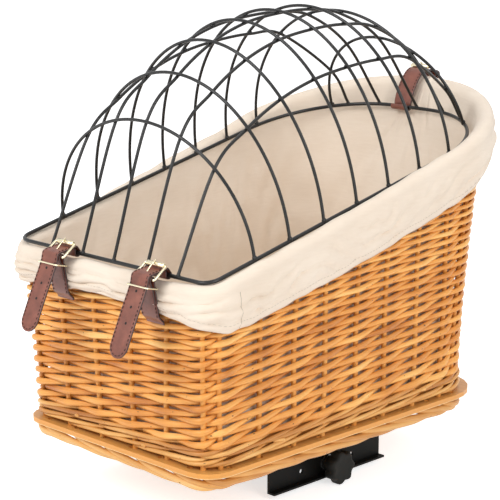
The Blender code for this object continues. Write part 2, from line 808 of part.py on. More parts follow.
def make_bars(axis_place):
    """Five wires along the lid, welded under the hoops."""
    for number, (x, far_x) in enumerate(zip(BAR_OFFSETS, BAR_FAR_OFFSETS), start=1):
        far_y = frame_edge(far_x)
        near_foot = np.array([x, *frame_end(-1)])
        far_foot = np.array([far_x, far_y, frame_height(far_y)])
        last_y = hoop_sizes()[-2][0]
        tops = []
        runs = []
        for foot_y, height, half_width, lean in hoop_sizes():
            share = min(max((foot_y - last_y) / (far_y - last_y), 0.0), 1.0)
            here = x + (far_x - x) * share
            root = sqrt(1 - (here / half_width) ** 2)
            slope = -height * here / (half_width ** 2 * root)
            tops.append(np.array([here, foot_y - lean * height * root,
                                  frame_height(foot_y) + height * root]))
            runs.append(np.array([1.0, -lean * slope, slope]))
        whole = [near_foot] + tops + [far_foot]
        under = HOOP_WIRE_RADIUS + BAR_WIRE_RADIUS + WELD_GAP
        spots = []
        for index, (top, run) in enumerate(zip(tops, runs), start=1):
            normal = np.cross(run, whole[index + 1] - whole[index - 1])
            spots.append(top - under * normal / np.linalg.norm(normal))
        feet = []
        for foot, first in ((near_foot, spots[0]), (far_foot, spots[-1])):
            chord = first - foot
            level = hypot(chord[0], chord[1]) / np.linalg.norm(chord)
            lift = FRAME_WIRE_RADIUS + GAP + BAR_WIRE_RADIUS * level
            feet.append(foot + np.array([0.0, 0.0, lift]))
        path = smooth_path([feet[0]] + spots + [feet[1]], 2)
        wire(f"long_wire_{number}", path, BAR_WIRE_RADIUS, "black_wire", origin=axis_place,
             fineness=1)


# Straps

def strap_point(spot, side):
    """World y and z of an (outward, upward) spot at an end of the basket."""
    outward, upward = spot
    y, top = crest_place(side)
    if side > 0:
        outward += face_shift(upward)
    return np.array([y + side * outward, top + upward])


def face_shift(upward):
    """How much further in the far wall's face lies than the near wall's, at a level of the rim."""
    drop = rim_border_drop()
    below = min(upward, -drop)
    shift = 0.0
    for side, sign in ((1, 1.0), (-1, -1.0)):
        crest = crest_place(side)[1] - BOARD_BOTTOM
        for level, way in ((below, 1.0), (-drop, -1.0)):
            height = crest + level
            if side < 0:
                face = WALL_FOOT_NEAR + NEAR_LEAN_SHARE * height
            else:
                face = wall_far(height)
            shift += sign * way * face
    return shift


def ribbon(path, x, width, thickness, round_end=False):
    """A flat strip along a path of (y, z) places, of even width, its far end rounded if asked."""
    half = width / 2
    path = [np.array(place, dtype=float) for place in path]
    if round_end:
        path, halves = rounded_end(path, half)
    else:
        halves = [half] * len(path)
    rings = []
    for index, (place, reach) in enumerate(zip(path, halves)):
        before = path[max(index - 1, 0)]
        after = path[min(index + 1, len(path) - 1)]
        run = (after - before) / np.linalg.norm(after - before)
        out = np.array([-run[1], run[0]]) * thickness / 2
        upper = place + out
        lower = place - out
        rings.append([(x - reach, *upper), (x + reach, *upper), (x + reach, *lower),
                      (x - reach, *lower)])
    return loft(rings)


TIP_ANGLES = (20, 40, 58, 72, 84)


def rounded_end(path, half):
    """Adds stations over the last half width, where the strip narrows as a half circle."""
    steps = [np.linalg.norm(after - before) for before, after in zip(path, path[1:])]
    reach = np.concatenate([[0.0], np.cumsum(steps)])
    start = reach[-1] - half
    places = np.array(path)

    def at(distance):
        return np.array([np.interp(distance, reach, places[:, 0]),
                         np.interp(distance, reach, places[:, 1])])

    kept = [place for place, distance in zip(path, reach) if distance < start - half / 4]
    halves = [half] * len(kept)
    kept.append(at(start))
    halves.append(half)
    for angle in TIP_ANGLES:
        kept.append(at(start + half * sin(radians(angle))))
        halves.append(half * cos(radians(angle)))
    return kept, halves


def buckle_frame(side):
    """Roller and pivot places, and the buckle's own directions along and out of its plane."""
    roller = strap_point(ROLLER_SPOT, side)
    pivot = strap_point(PIVOT_SPOT, side)
    along = (roller - pivot) / np.linalg.norm(roller - pivot)
    out = np.array([-along[1], along[0]]) * -side
    if out[1] < 0:
        out = -out
    return roller, pivot, along, out


def bend_round(centre, radius, start, end, steps, side):
    """Places on an arc about a centre. Angles are in degrees from the outward direction."""
    places = []
    for step in range(steps + 1):
        angle = radians(start + (end - start) * step / steps)
        places.append(centre + radius * np.array([side * cos(angle), sin(angle)]))
    return places


def under_roller(side):
    """Where the long strap's middle passes under the roller."""
    roller, _, _, out = buckle_frame(side)
    return roller - out * (ROLLER_RADIUS + 3 * RUN + STRAP_THICKNESS / 2)


def before_roller(side):
    """Where the long strap's middle levels out before it passes under the roller."""
    along, out = buckle_frame(side)[2:]
    return under_roller(side) + (along * 0.9 - out * 0.15) * STRAP_THICKNESS


def over_pivot(side):
    """Where the long strap's middle passes over the folded short strap."""
    _, pivot, _, out = buckle_frame(side)
    fold = BUCKLE_WIRE_RADIUS + GAP + STRAP_THICKNESS
    return pivot + out * (fold + RUN + STRAP_THICKNESS / 2)


def tail_path(side):
    """The long strap's run from under the roller, over the pivot and down to its tip."""
    start = under_roller(side)
    top = over_pivot(side)
    roller, pivot, _, out = buckle_frame(side)
    middle = (roller + pivot) / 2 + out * STRAP_THICKNESS * 0.2
    spots = [start, middle, top] + [strap_point(spot, side) for spot in TAIL_SPOTS]
    return smooth_path(spots, 3)


def prong_slot(x, side, reach_back, reach_on, low, high):
    """A slanted box in the buckle's own directions, for the prong to pass through."""
    _, pivot, along, out = buckle_frame(side)
    corners = []
    for level in (low, high):
        ring = []
        for run, across in ((-reach_back, -1), (reach_on, -1), (reach_on, 1), (-reach_back, 1)):
            place = pivot + along * run + out * level
            ring.append((x + across * PRONG_HOLE_HALF_WIDTH, *place))
        corners.append(ring)
    return loft(corners)


def frame_wire_spot():
    """The near frame wire's middle."""
    return np.array(frame_end(-1))


def make_near_strap(name, x):
    """A long strap that is looped on the lid's near wire and passes through its buckle."""
    wire_spot = frame_wire_spot()
    radius = FRAME_WIRE_RADIUS + RUN + STRAP_THICKNESS / 2
    loop = bend_round(wire_spot, radius, 0, -225, 9, -1)
    end = loop[0] + np.array([0.0, STRAP_THICKNESS * 2.2])
    path = [end] + loop + [before_roller(-1)] + tail_path(-1)
    strap = add_mesh(name, *ribbon(path, x, STRAP_WIDTH, STRAP_THICKNESS, round_end=True),
                     "leather", origin=(x, *wire_spot))
    cut(strap, *prong_slot(x, -1, PRONG_RADIUS, hole_reach(), PRONG_RADIUS, hole_top()))


def hole_reach():
    """How far along the buckle the prong's hole in the long strap runs."""
    return hypot(ROLLER_SPOT[0] - PIVOT_SPOT[0], ROLLER_SPOT[1] - PIVOT_SPOT[1]) * 0.68


def hole_top():
    """How far out of the buckle's plane the prong's hole is cut."""
    return BUCKLE_WIRE_RADIUS + 2 * STRAP_THICKNESS + OVERRUN / 2


def make_far_strap():
    """The strap that holds the lid's far wire, passes its buckle and hangs down outside."""
    side = 1
    radius = FRAME_WIRE_RADIUS + RUN + STRAP_THICKNESS / 2
    far_wire = np.array(frame_end(1))
    loop = bend_round(far_wire, radius, 140, 360, 9, side)
    y, top = crest_place(side)
    run = [np.array([y + outward, top + upward]) for outward, upward in FAR_RUN_SPOTS]
    rising = smooth_path([loop[-1]] + run + [before_roller(side)], 2)
    path = loop[:-1] + rising + tail_path(side)
    strap = add_mesh("far_strap",
                     *ribbon(path, FAR_STRAP_X, STRAP_WIDTH, STRAP_THICKNESS, round_end=True),
                     "leather")
    cut(strap, *prong_slot(FAR_STRAP_X, side, PRONG_RADIUS, hole_reach(), PRONG_RADIUS,
                           hole_top()))


def make_short_strap(name, x, side):
    """The short strap from the weave up to its buckle, folded round the pivot bar."""
    _, pivot, _, _ = buckle_frame(side)
    radius = BUCKLE_WIRE_RADIUS + GAP + STRAP_THICKNESS / 2
    anchor = NEAR_ANCHOR_SPOTS if side < 0 else FAR_ANCHOR_SPOTS
    rising = smooth_path([strap_point(spot, side) for spot in anchor + RISE_SPOTS], 2)
    fold = bend_round(pivot, radius, 180, 0, 6, side)
    falling = smooth_path([strap_point(spot, side) for spot in RETURN_SPOTS], 2)
    strap = add_mesh(name, *ribbon(rising + fold + falling, x, STRAP_WIDTH, STRAP_THICKNESS),
                     "leather")
    reach = radius + STRAP_THICKNESS
    cut(strap, *prong_slot(x, side, reach, reach, -reach, reach))


def make_buckle(name, x, side):
    """The buckle's wire frame: a rectangle with rounded corners."""
    roller, pivot, along, _ = buckle_frame(side)
    path = []
    corners = ((1, roller, 1), (-1, roller, 1), (-1, pivot, -1), (1, pivot, -1))
    half = BUCKLE_HALF_WIDTH
    round_by = BUCKLE_CORNER
    for across, spot, end in corners:
        first = (x + across * half, spot - along * end * round_by)
        second = (x + across * (half - round_by), spot)
        middle = (x + across * (half - round_by * 0.3), spot - along * end * round_by * 0.3)
        order = (first, middle, second) if across == end else (second, middle, first)
        path.extend((place_x, *place) for place_x, place in order)
    wire(name, path, BUCKLE_WIRE_RADIUS, "brass", closed=True)


def make_roller(name, x, side):
    """The tube that turns on the buckle's bar."""
    roller, _, _, _ = buckle_frame(side)
    inner = BUCKLE_WIRE_RADIUS + GAP
    points, faces = sleeve(inner, ROLLER_RADIUS, -ROLLER_HALF_LENGTH, ROLLER_HALF_LENGTH, "X",
                           (x, *roller), 12)
    add_mesh(name, points, faces, "brass", origin=(x, *roller))


def make_prong(name, x, side):
    """The prong: an eye round the pivot bar and a rod that lies on the roller."""
    roller, pivot, along, out = buckle_frame(side)
    length = np.linalg.norm(roller - pivot)
    radius = BUCKLE_WIRE_RADIUS + RUN + PRONG_RADIUS
    top = ROLLER_RADIUS + GAP + PRONG_RADIUS
    places = []
    turns = 12
    for step in range(turns + 1):
        angle = radians(-20 - 250 * step / turns)
        places.append(pivot + radius * (along * cos(angle) + out * sin(angle)))
    for run, level in ((0.35, radius), (0.75, top * 0.97), (1.0, top)):
        places.append(pivot + along * length * run + out * level)
    places.append(pivot + along * (length + PRONG_OVERHANG * 0.6) + out * top * 0.97)
    places.append(pivot + along * (length + PRONG_OVERHANG) + out * top * 0.86)
    path = [(x, *place) for place in places]
    wire(name, path, PRONG_RADIUS, "brass", origin=(x, *pivot), fineness=1)


def make_keeper(name, x, side):
    """The wire loop that holds the strap's tail to the short strap."""
    back = strap_point(KEEPER_BACK_SPOT, side)
    front = strap_point(KEEPER_FRONT_SPOT, side)
    half = KEEPER_HALF_WIDTH
    along = (front - back) / np.linalg.norm(front - back)
    ease = KEEPER_WIRE_RADIUS * 1.5
    path = []
    for across, spot, end in ((1, front, 1), (-1, front, 1), (-1, back, -1), (1, back, -1)):
        first = (x + across * half, spot - along * end * ease)
        second = (x + across * (half - ease), spot)
        order = (first, second) if across == end else (second, first)
        path.extend((place_x, *place) for place_x, place in order)
    wire(name, path, KEEPER_WIRE_RADIUS, "brass", closed=True, fineness=1)


def make_straps():
    """All three sets of strap, buckle, roller, prong and keeper."""
    for end, x, side in (("left", LEFT_STRAP_X, -1), ("right", RIGHT_STRAP_X, -1),
                         ("far", FAR_STRAP_X, 1)):
        make_short_strap(f"short_strap_{end}", x, side)
        make_buckle(f"buckle_{end}", x, side)
        make_roller(f"roller_{end}", x, side)
        make_prong(f"prong_{end}", x, side)
        make_keeper(f"keeper_{end}", x, side)
    make_near_strap("long_strap_left", LEFT_STRAP_X)
    make_near_strap("long_strap_right", RIGHT_STRAP_X)
    make_far_strap()


# Rack clamp

def make_battens():
    """Two wooden battens that hold the plate clear of the foot border."""
    low = PLATE_TOP + GAP
    for name, y in zip(("batten_near", "batten_far"), batten_ys()):
        batten = add_mesh(name, *block((-BATTEN_HALF_LENGTH, y - BATTEN_DEPTH / 2, low),
                                       (BATTEN_HALF_LENGTH, y + BATTEN_DEPTH / 2,
                                        low + BATTEN_HEIGHT)), "plywood")
        reach = BATTEN_HEIGHT / 2 + OVERRUN
        holes = [turned([(-reach, BOARD_BOLT_RADIUS + GAP), (reach, BOARD_BOLT_RADIUS + GAP)],
                        "Z", (side * BOARD_BOLT_X, y, low + BATTEN_HEIGHT / 2), BOLT_SIDES)
                 for side in (-1, 1)]
        cut(batten, *merge(holes))


def jaw_screw_places():
    """Where the fixed jaw's two screws stand."""
    return [(-JAW_SCREW_X, BOLT_Y + side * JAW_SCREW_SPREAD) for side in (-1, 1)]


def make_plate():
    """Steel plate under the battens. The rack's tubes bear on its underside."""
    plate = add_mesh("mounting_plate", *block((-PLATE_HALF_WIDTH, -PLATE_NEAR, 0.0),
                                              (PLATE_HALF_WIDTH, PLATE_FAR, PLATE_TOP)),
                     "black_steel")
    head = BOARD_BOLT_HEAD_RADIUS + GAP
    shank = BOARD_BOLT_RADIUS + GAP
    holes = [turned([(-OVERRUN, head), (0.0, head), (PLATE_THICKNESS, shank),
                     (PLATE_THICKNESS + OVERRUN, shank)], "Z", (x, y, 0.0), BOLT_SIDES)
             for x, y in board_bolt_places()]
    shank = JAW_SCREW_RADIUS + GAP
    holes += [turned([(-OVERRUN, shank), (PLATE_THICKNESS + OVERRUN, shank)], "Z", (x, y, 0.0),
                     BOLT_SIDES) for x, y in jaw_screw_places()]
    cut(plate, *merge(holes))


def jaw_solid(side):
    """A jaw's bent sheet: tongue on the plate, web down past the rack, lip turned outward."""
    inner = JAW_INNER_X
    outer = JAW_INNER_X + JAW_WEB
    bottom = -JAW_DEPTH
    tongue_low = PLATE_TOP + GAP
    tongue_top = tongue_low + JAW_LIP_THICKNESS
    web = block((inner, -JAW_NEAR, bottom), (outer, JAW_FAR, tongue_top))
    overlap = JAW_WEB / 2
    tongue = block((inner - JAW_TONGUE_REACH, -JAW_TONGUE_NEAR, tongue_low),
                   (inner + overlap, JAW_TONGUE_FAR, tongue_top))
    lip = block((outer - overlap, -JAW_NEAR, bottom),
                (outer + JAW_LIP, JAW_FAR, bottom + JAW_LIP_THICKNESS))
    return [([(side * x, y, z) for x, y, z in points], faces) for points, faces in (web, tongue, lip)]


def make_jaw(name, side, bolt_clearance):
    """One clamp jaw, joined from its bent parts and drilled."""
    web, tongue, lip = jaw_solid(side)
    jaw = add_mesh(name, *web, "black_steel")
    combine(jaw, *tongue, operation="UNION")
    combine(jaw, *lip, operation="UNION")
    middle = side * (JAW_INNER_X + JAW_WEB / 2)
    reach = JAW_WEB / 2 + OVERRUN
    bore = BOLT_RADIUS + bolt_clearance
    holes = [turned([(-reach, bore), (reach, bore)], "X", (middle, BOLT_Y, -BOLT_DEPTH), 12)]
    for end in (-1, 1):
        holes.append(turned([(-reach, JAW_HOLE_RADIUS), (reach, JAW_HOLE_RADIUS)], "X",
                            (middle, BOLT_Y + end * JAW_HOLE_SPREAD, -BOLT_DEPTH), 12))
    if side < 0:
        tall = JAW_LIP_THICKNESS / 2 + OVERRUN
        level = PLATE_TOP + GAP + JAW_LIP_THICKNESS / 2
        holes += [turned([(-tall, JAW_SCREW_RADIUS + GAP), (tall, JAW_SCREW_RADIUS + GAP)], "Z",
                         (x, y, level), BOLT_SIDES) for x, y in jaw_screw_places()]
    cut(jaw, *merge(holes))


def nut(axis, centre, start, end, across_flats, bore, flip=0.0):
    """A hexagonal nut between two places along its axis, with a round bore."""
    along, across, up = axis_frame(axis)
    rings = []
    sides = 12
    for distance, hexagon in ((start, False), (start, True), (end, True), (end, False)):
        ring = []
        for step in range(sides):
            angle = flip + 2 * pi * step / sides
            if hexagon:
                off = (step % 2) * pi / 6
                radius = across_flats / 2 / cos(off if off else 0.0)
            else:
                radius = bore
            ring.append(Vector(centre) + along * distance
                        + (across * cos(angle) + up * sin(angle)) * radius)
        rings.append(ring)
    return loft(rings, closed=True)


def make_fasteners():
    """Four countersunk board bolts with their tee nuts, and the fixed jaw's two screws."""
    top = BOARD_TOP + GAP + TEE_NUT_FLANGE
    profile = [(GAP, BOARD_BOLT_HEAD_RADIUS - GAP), (PLATE_THICKNESS, BOARD_BOLT_RADIUS),
               (top, BOARD_BOLT_RADIUS)]
    bore = BOARD_BOLT_RADIUS + GAP
    base = BOARD_TOP + GAP
    foot = BOARD_TOP - TEE_NUT_BARREL_LENGTH
    for number, (x, y) in enumerate(board_bolt_places(), start=1):
        add_mesh(f"board_bolt_{number}", *turned(profile, "Z", (x, y, 0.0), BOLT_SIDES), "zinc")
        rings = [ring_round((x, y, 0.0), distance, radius)
                 for distance, radius in ((foot, bore), (foot, TEE_NUT_BARREL_RADIUS),
                                          (base, TEE_NUT_BARREL_RADIUS), (base, TEE_NUT_RADIUS),
                                          (top, TEE_NUT_RADIUS), (top, bore))]
        add_mesh(f"tee_nut_{number}", *loft(rings, closed=True), "zinc")
    head = PLATE_TOP + GAP + JAW_LIP_THICKNESS + GAP
    profile = [(GAP, JAW_SCREW_RADIUS), (head, JAW_SCREW_RADIUS), (head, JAW_SCREW_HEAD_RADIUS),
               (head + JAW_SCREW_HEAD_HEIGHT, JAW_SCREW_HEAD_RADIUS * 0.8)]
    for name, (x, y) in zip(("jaw_screw_near", "jaw_screw_far"), jaw_screw_places()):
        add_mesh(name, *turned(profile, "Z", (x, y, 0.0), BOLT_SIDES), "zinc")


def ring_round(centre, height, radius):
    """A level ring of points round an upright axis."""
    angles = [2 * pi * step / BOLT_SIDES for step in range(BOLT_SIDES)]
    return [(centre[0] + radius * cos(angle), centre[1] + radius * sin(angle), height)
            for angle in angles]


def make_clamp_bolt():
    """The long bolt through both jaws, and the nut that locks it to the fixed jaw."""
    centre = (0.0, BOLT_Y, -BOLT_DEPTH)
    head = -(JAW_INNER_X + JAW_WEB + GAP)
    add_mesh("clamp_bolt", *turned([(head - BOLT_HEAD_HEIGHT, BOLT_HEAD_RADIUS * 0.5),
                                    (head - BOLT_HEAD_HEIGHT * 0.6, BOLT_HEAD_RADIUS * 0.85),
                                    (head, BOLT_HEAD_RADIUS), (head, BOLT_RADIUS),
                                    (BOLT_END_X, BOLT_RADIUS)], "X", centre, 12), "zinc")
    start = -(JAW_INNER_X - GAP)
    add_mesh("lock_nut", *nut("X", centre, start, start + NUT_HEIGHT, NUT_ACROSS_FLATS,
                              BOLT_RADIUS + GAP), "zinc")


def make_knob():
    """Star knob with its metal insert, and the washer between it and the sliding jaw."""
    centre = (0.0, BOLT_Y, -BOLT_DEPTH)
    face = JAW_INNER_X + JAW_WEB + GAP
    add_mesh("knob_washer", *sleeve(BOLT_RADIUS + GAP, WASHER_RADIUS, face,
                                    face + WASHER_THICKNESS, "X", centre, 20), "zinc")
    hub = face + WASHER_THICKNESS + GAP
    star = hub + KNOB_HUB_LENGTH
    end = star + KNOB_THICKNESS
    per_lobe = 6
    count = KNOB_LOBES * per_lobe
    rings = []
    for x, lobed, scale in ((hub, False, 1.0), (star - KNOB_EDGE / 2, False, 1.0),
                            (star, True, 0.86), (star + KNOB_EDGE, True, 1.0),
                            (end - KNOB_EDGE, True, 1.0), (end - KNOB_EDGE / 3, True, 0.95),
                            (end, True, 0.86)):
        ring = []
        for step in range(count):
            angle = 2 * pi * step / count
            if lobed:
                radius = KNOB_RADIUS - KNOB_LOBE_DEPTH * (1 - cos(KNOB_LOBES * angle)) / 2
            else:
                radius = KNOB_HUB_RADIUS
            ring.append((x, BOLT_Y + scale * radius * cos(angle),
                         -BOLT_DEPTH + scale * radius * sin(angle)))
        rings.append(ring)
    axis_place = (star, BOLT_Y, -BOLT_DEPTH)
    knob = add_mesh("star_knob", *loft(rings), "black_plastic", origin=axis_place)
    bore = BOLT_RADIUS + GAP + INSERT_WALL + GAP
    cut(knob, *turned([(hub - OVERRUN, bore), (end - KNOB_FACE_WALL, bore)], "X", centre, 16))
    add_mesh("knob_insert", *sleeve(BOLT_RADIUS + GAP, BOLT_RADIUS + GAP + INSERT_WALL,
                                    hub, hub + INSERT_LENGTH, "X", centre, 16), "brass",
             origin=axis_place)


# Where the far strap folds over the rim, as (outward, upward): the line that the lid turns on
LID_AXIS_SPOT = (-0.0080, 0.0100)


def lid_axis():
    """The line that the lid turns on: the fold of the far strap over the rim."""
    y, z = strap_point(LID_AXIS_SPOT, 1)
    return (0.0, y, z)


def build():
    """Makes every piece."""
    clear_scene()
    make_board()
    make_foot_border()
    make_wale()
    make_wall()
    make_rim_border()
    make_liner()
    make_cushion()
    axis_place = lid_axis()
    make_lid_frame(axis_place)
    make_hoops(axis_place)
    make_bars(axis_place)
    make_straps()
    make_battens()
    make_plate()
    make_jaw("fixed_jaw", -1, GAP)
    make_jaw("sliding_jaw", 1, RUN)
    make_fasteners()
    make_clamp_bolt()
    make_knob()


build()
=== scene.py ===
"""Dresses the bicycle basket: woven willow, cotton liner, leather straps, wire lid, clamp.

Metres, +Z up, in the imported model's frame. The low end faces -Y and the knob faces +X.
Heights called h are above the base board's underside, which is at z = BOARD_BOTTOM.
"""
from collections import namedtuple

import bpy
import numpy as np
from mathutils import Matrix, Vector


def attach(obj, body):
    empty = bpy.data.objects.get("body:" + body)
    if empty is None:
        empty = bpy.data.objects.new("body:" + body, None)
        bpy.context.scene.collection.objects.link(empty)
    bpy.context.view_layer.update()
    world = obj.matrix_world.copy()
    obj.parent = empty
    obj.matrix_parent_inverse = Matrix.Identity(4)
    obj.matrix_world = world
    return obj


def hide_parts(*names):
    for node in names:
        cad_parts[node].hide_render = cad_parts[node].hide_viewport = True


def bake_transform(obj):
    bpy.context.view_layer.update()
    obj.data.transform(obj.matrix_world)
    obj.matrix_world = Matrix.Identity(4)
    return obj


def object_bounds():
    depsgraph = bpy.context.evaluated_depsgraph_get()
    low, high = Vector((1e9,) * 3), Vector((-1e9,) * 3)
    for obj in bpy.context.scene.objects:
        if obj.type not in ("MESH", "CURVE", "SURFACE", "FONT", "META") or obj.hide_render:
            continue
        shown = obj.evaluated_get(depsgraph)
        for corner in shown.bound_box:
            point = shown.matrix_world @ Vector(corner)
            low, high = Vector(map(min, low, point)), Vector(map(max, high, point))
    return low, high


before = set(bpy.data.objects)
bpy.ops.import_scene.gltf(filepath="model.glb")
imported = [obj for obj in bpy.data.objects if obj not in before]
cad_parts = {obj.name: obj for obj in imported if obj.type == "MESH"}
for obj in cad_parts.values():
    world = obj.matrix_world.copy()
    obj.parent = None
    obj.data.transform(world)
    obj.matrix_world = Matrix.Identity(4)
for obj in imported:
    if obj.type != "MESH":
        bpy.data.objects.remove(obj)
packed_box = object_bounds()

# Sizes shared with the model

BOARD_BOTTOM = 0.0231
BOARD_THICKNESS = 0.006

# Measures of the wall that grow with height, as (foot, lean, curve); see grown()
SIDE, NEAR_END = (0.156, 0.030, 5.88), (0.227, 0.0465, np.inf)
FAR_END, FAR_CORNER = (0.2432, 0.020, 1.754), (0.065, 0.020, 1.282)
NEAR_ROUND = 0.034
NEAR_RUN = SIDE[0] - NEAR_ROUND
NEAR_CORNER_RUN = np.pi / 2 * NEAR_ROUND
SIDE_RUN = NEAR_END[0] - NEAR_ROUND + FAR_END[0] - FAR_CORNER[0]
FAR_CORNER_RUN = np.pi / 2 * FAR_CORNER[0]
FAR_RUN = SIDE[0] - FAR_CORNER[0]
HALF_ROUND = NEAR_RUN + NEAR_CORNER_RUN + SIDE_RUN + FAR_CORNER_RUN + FAR_RUN
WHOLE_ROUND = 2 * HALF_ROUND
RIM_INSET = 0.00625
RIM_DROP = 0.0105
X_AXIS, Y_AXIS, Z_AXIS = np.eye(3)
random = np.random.default_rng(7)


# Shape tools

def grown(measure, h):
    """A measure of the wall at height h."""
    foot, lean, curve = measure
    return foot + lean * h + h ** 2 / curve


def wall_point(t, h, inset=0.0):
    """A place on the wall: t metres round its foot from the near middle, at height h.

    The outline is a rounded rectangle drawn in by the inset. t past the half way mirrors x.
    """
    t, h, inset = np.broadcast_arrays(np.asarray(t, float) % WHOLE_ROUND, h, inset)
    half, near, far, far_round = (grown(measure, h) - inset
                                  for measure in (SIDE, NEAR_END, FAR_END, FAR_CORNER))
    near_round = NEAR_ROUND - inset
    s = np.minimum(t, WHOLE_ROUND - t)
    side = np.where(t <= HALF_ROUND, 1.0, -1.0)
    ends = np.cumsum([NEAR_RUN, NEAR_CORNER_RUN, SIDE_RUN, FAR_CORNER_RUN])
    turn = np.clip((s - ends[0]) / NEAR_CORNER_RUN, 0, 1) * np.pi / 2
    along = np.clip((s - ends[1]) / SIDE_RUN, 0, 1)
    bend = np.clip((s - ends[2]) / FAR_CORNER_RUN, 0, 1) * np.pi / 2
    past = np.clip((s - ends[3]) / FAR_RUN, 0, 1)
    parts = [s < end for end in ends]
    x = np.select(parts,
                  [(half - near_round) * s / NEAR_RUN, half - near_round * (1 - np.sin(turn)),
                   half, half - far_round * (1 - np.cos(bend))], (half - far_round) * (1 - past))
    y = np.select(parts,
                  [-near, -near + near_round * (1 - np.cos(turn)),
                   (near_round - near) * (1 - along) + (far - far_round) * along,
                   far - far_round * (1 - np.sin(bend))], far)
    return np.stack([side * x, y, h + BOARD_BOTTOM], axis=-1)


def rim_top(y):
    """Height h of the liner's crest at a place along the basket."""
    run = y + 0.027
    return 0.264 + 0.272 * run + run ** 2 / 12.5


def rim_height(t, inset=RIM_INSET):
    """Height h of the crest at a place round the wall, found by repeated substitution."""
    h = np.full(np.shape(t), 0.27)
    for _ in range(8):
        h = rim_top(wall_point(t, h, inset)[..., 1])
    return h


def unit(vectors):
    """The vectors at length 1."""
    return vectors / np.maximum(np.linalg.norm(vectors, axis=-1, keepdims=True), 1e-12)


def ripple(shape_t, shape_v, seed, scale_t, scale_v, terms=14):
    """Smooth seamless noise about -1 to 1: a sum of cosines whose waves round t are whole."""
    pick = np.random.default_rng(seed)
    total = 0.0
    for _ in range(terms):
        wave_t = 2 * np.pi * np.round(pick.normal(0, WHOLE_ROUND / scale_t)) / WHOLE_ROUND
        wave_v = 2 * np.pi * pick.normal(0, 1 / scale_v)
        total = total + np.cos(wave_t * shape_t + wave_v * shape_v + pick.uniform(0, 6.283))
    return total / np.sqrt(terms)


def through(spots, per_span):
    """A smooth path through the spots: Catmull-Rom spans worked out as whole arrays."""
    spots = np.asarray(spots, float)
    padded = np.vstack([2 * spots[0] - spots[1], spots, 2 * spots[-1] - spots[-2]])
    share = (np.arange(per_span) / per_span)[None, :, None]
    before, start, end, after = (padded[i:len(padded) - 3 + i][:, None, :] for i in range(4))
    path = 0.5 * (2 * start + (end - before) * share
                  + (2 * before - 5 * start + 4 * end - after) * share ** 2
                  + (3 * start - before - 3 * end + after) * share ** 3)
    return np.vstack([path.reshape(-1, spots.shape[1]), spots[-1]])


def run_lengths(path):
    """Distance along a path to each of its points."""
    return np.concatenate([[0.0], np.cumsum(np.linalg.norm(np.diff(path, axis=0), axis=1))])


def resampled(values, reach, wanted):
    """Values given at the distances reach, worked out at the wanted distances."""
    return np.stack([np.interp(wanted, reach, axis) for axis in values.T], axis=-1)


def spaced(path, count):
    """The same path with evenly spaced points."""
    reach = run_lengths(path)
    return resampled(path, reach, np.linspace(0, reach[-1], count))


def grid_faces(rows, columns, wrap_rows=False):
    """Quads of a grid of points, closed along each row: index is row times columns plus column."""
    row = np.arange(rows if wrap_rows else rows - 1)[:, None]
    column = np.arange(columns)[None, :]
    next_row, next_column = (row + 1) % rows, (column + 1) % columns
    quads = np.stack([row * columns + column, row * columns + next_column,
                      next_row * columns + next_column, next_row * columns + column], axis=-1)
    return quads.reshape(-1, 4)


def end_caps(rows, columns):
    """The faces that close the first and the last row of a grid."""
    return range(columns), range(rows * columns - 1, (rows - 1) * columns - 1, -1)


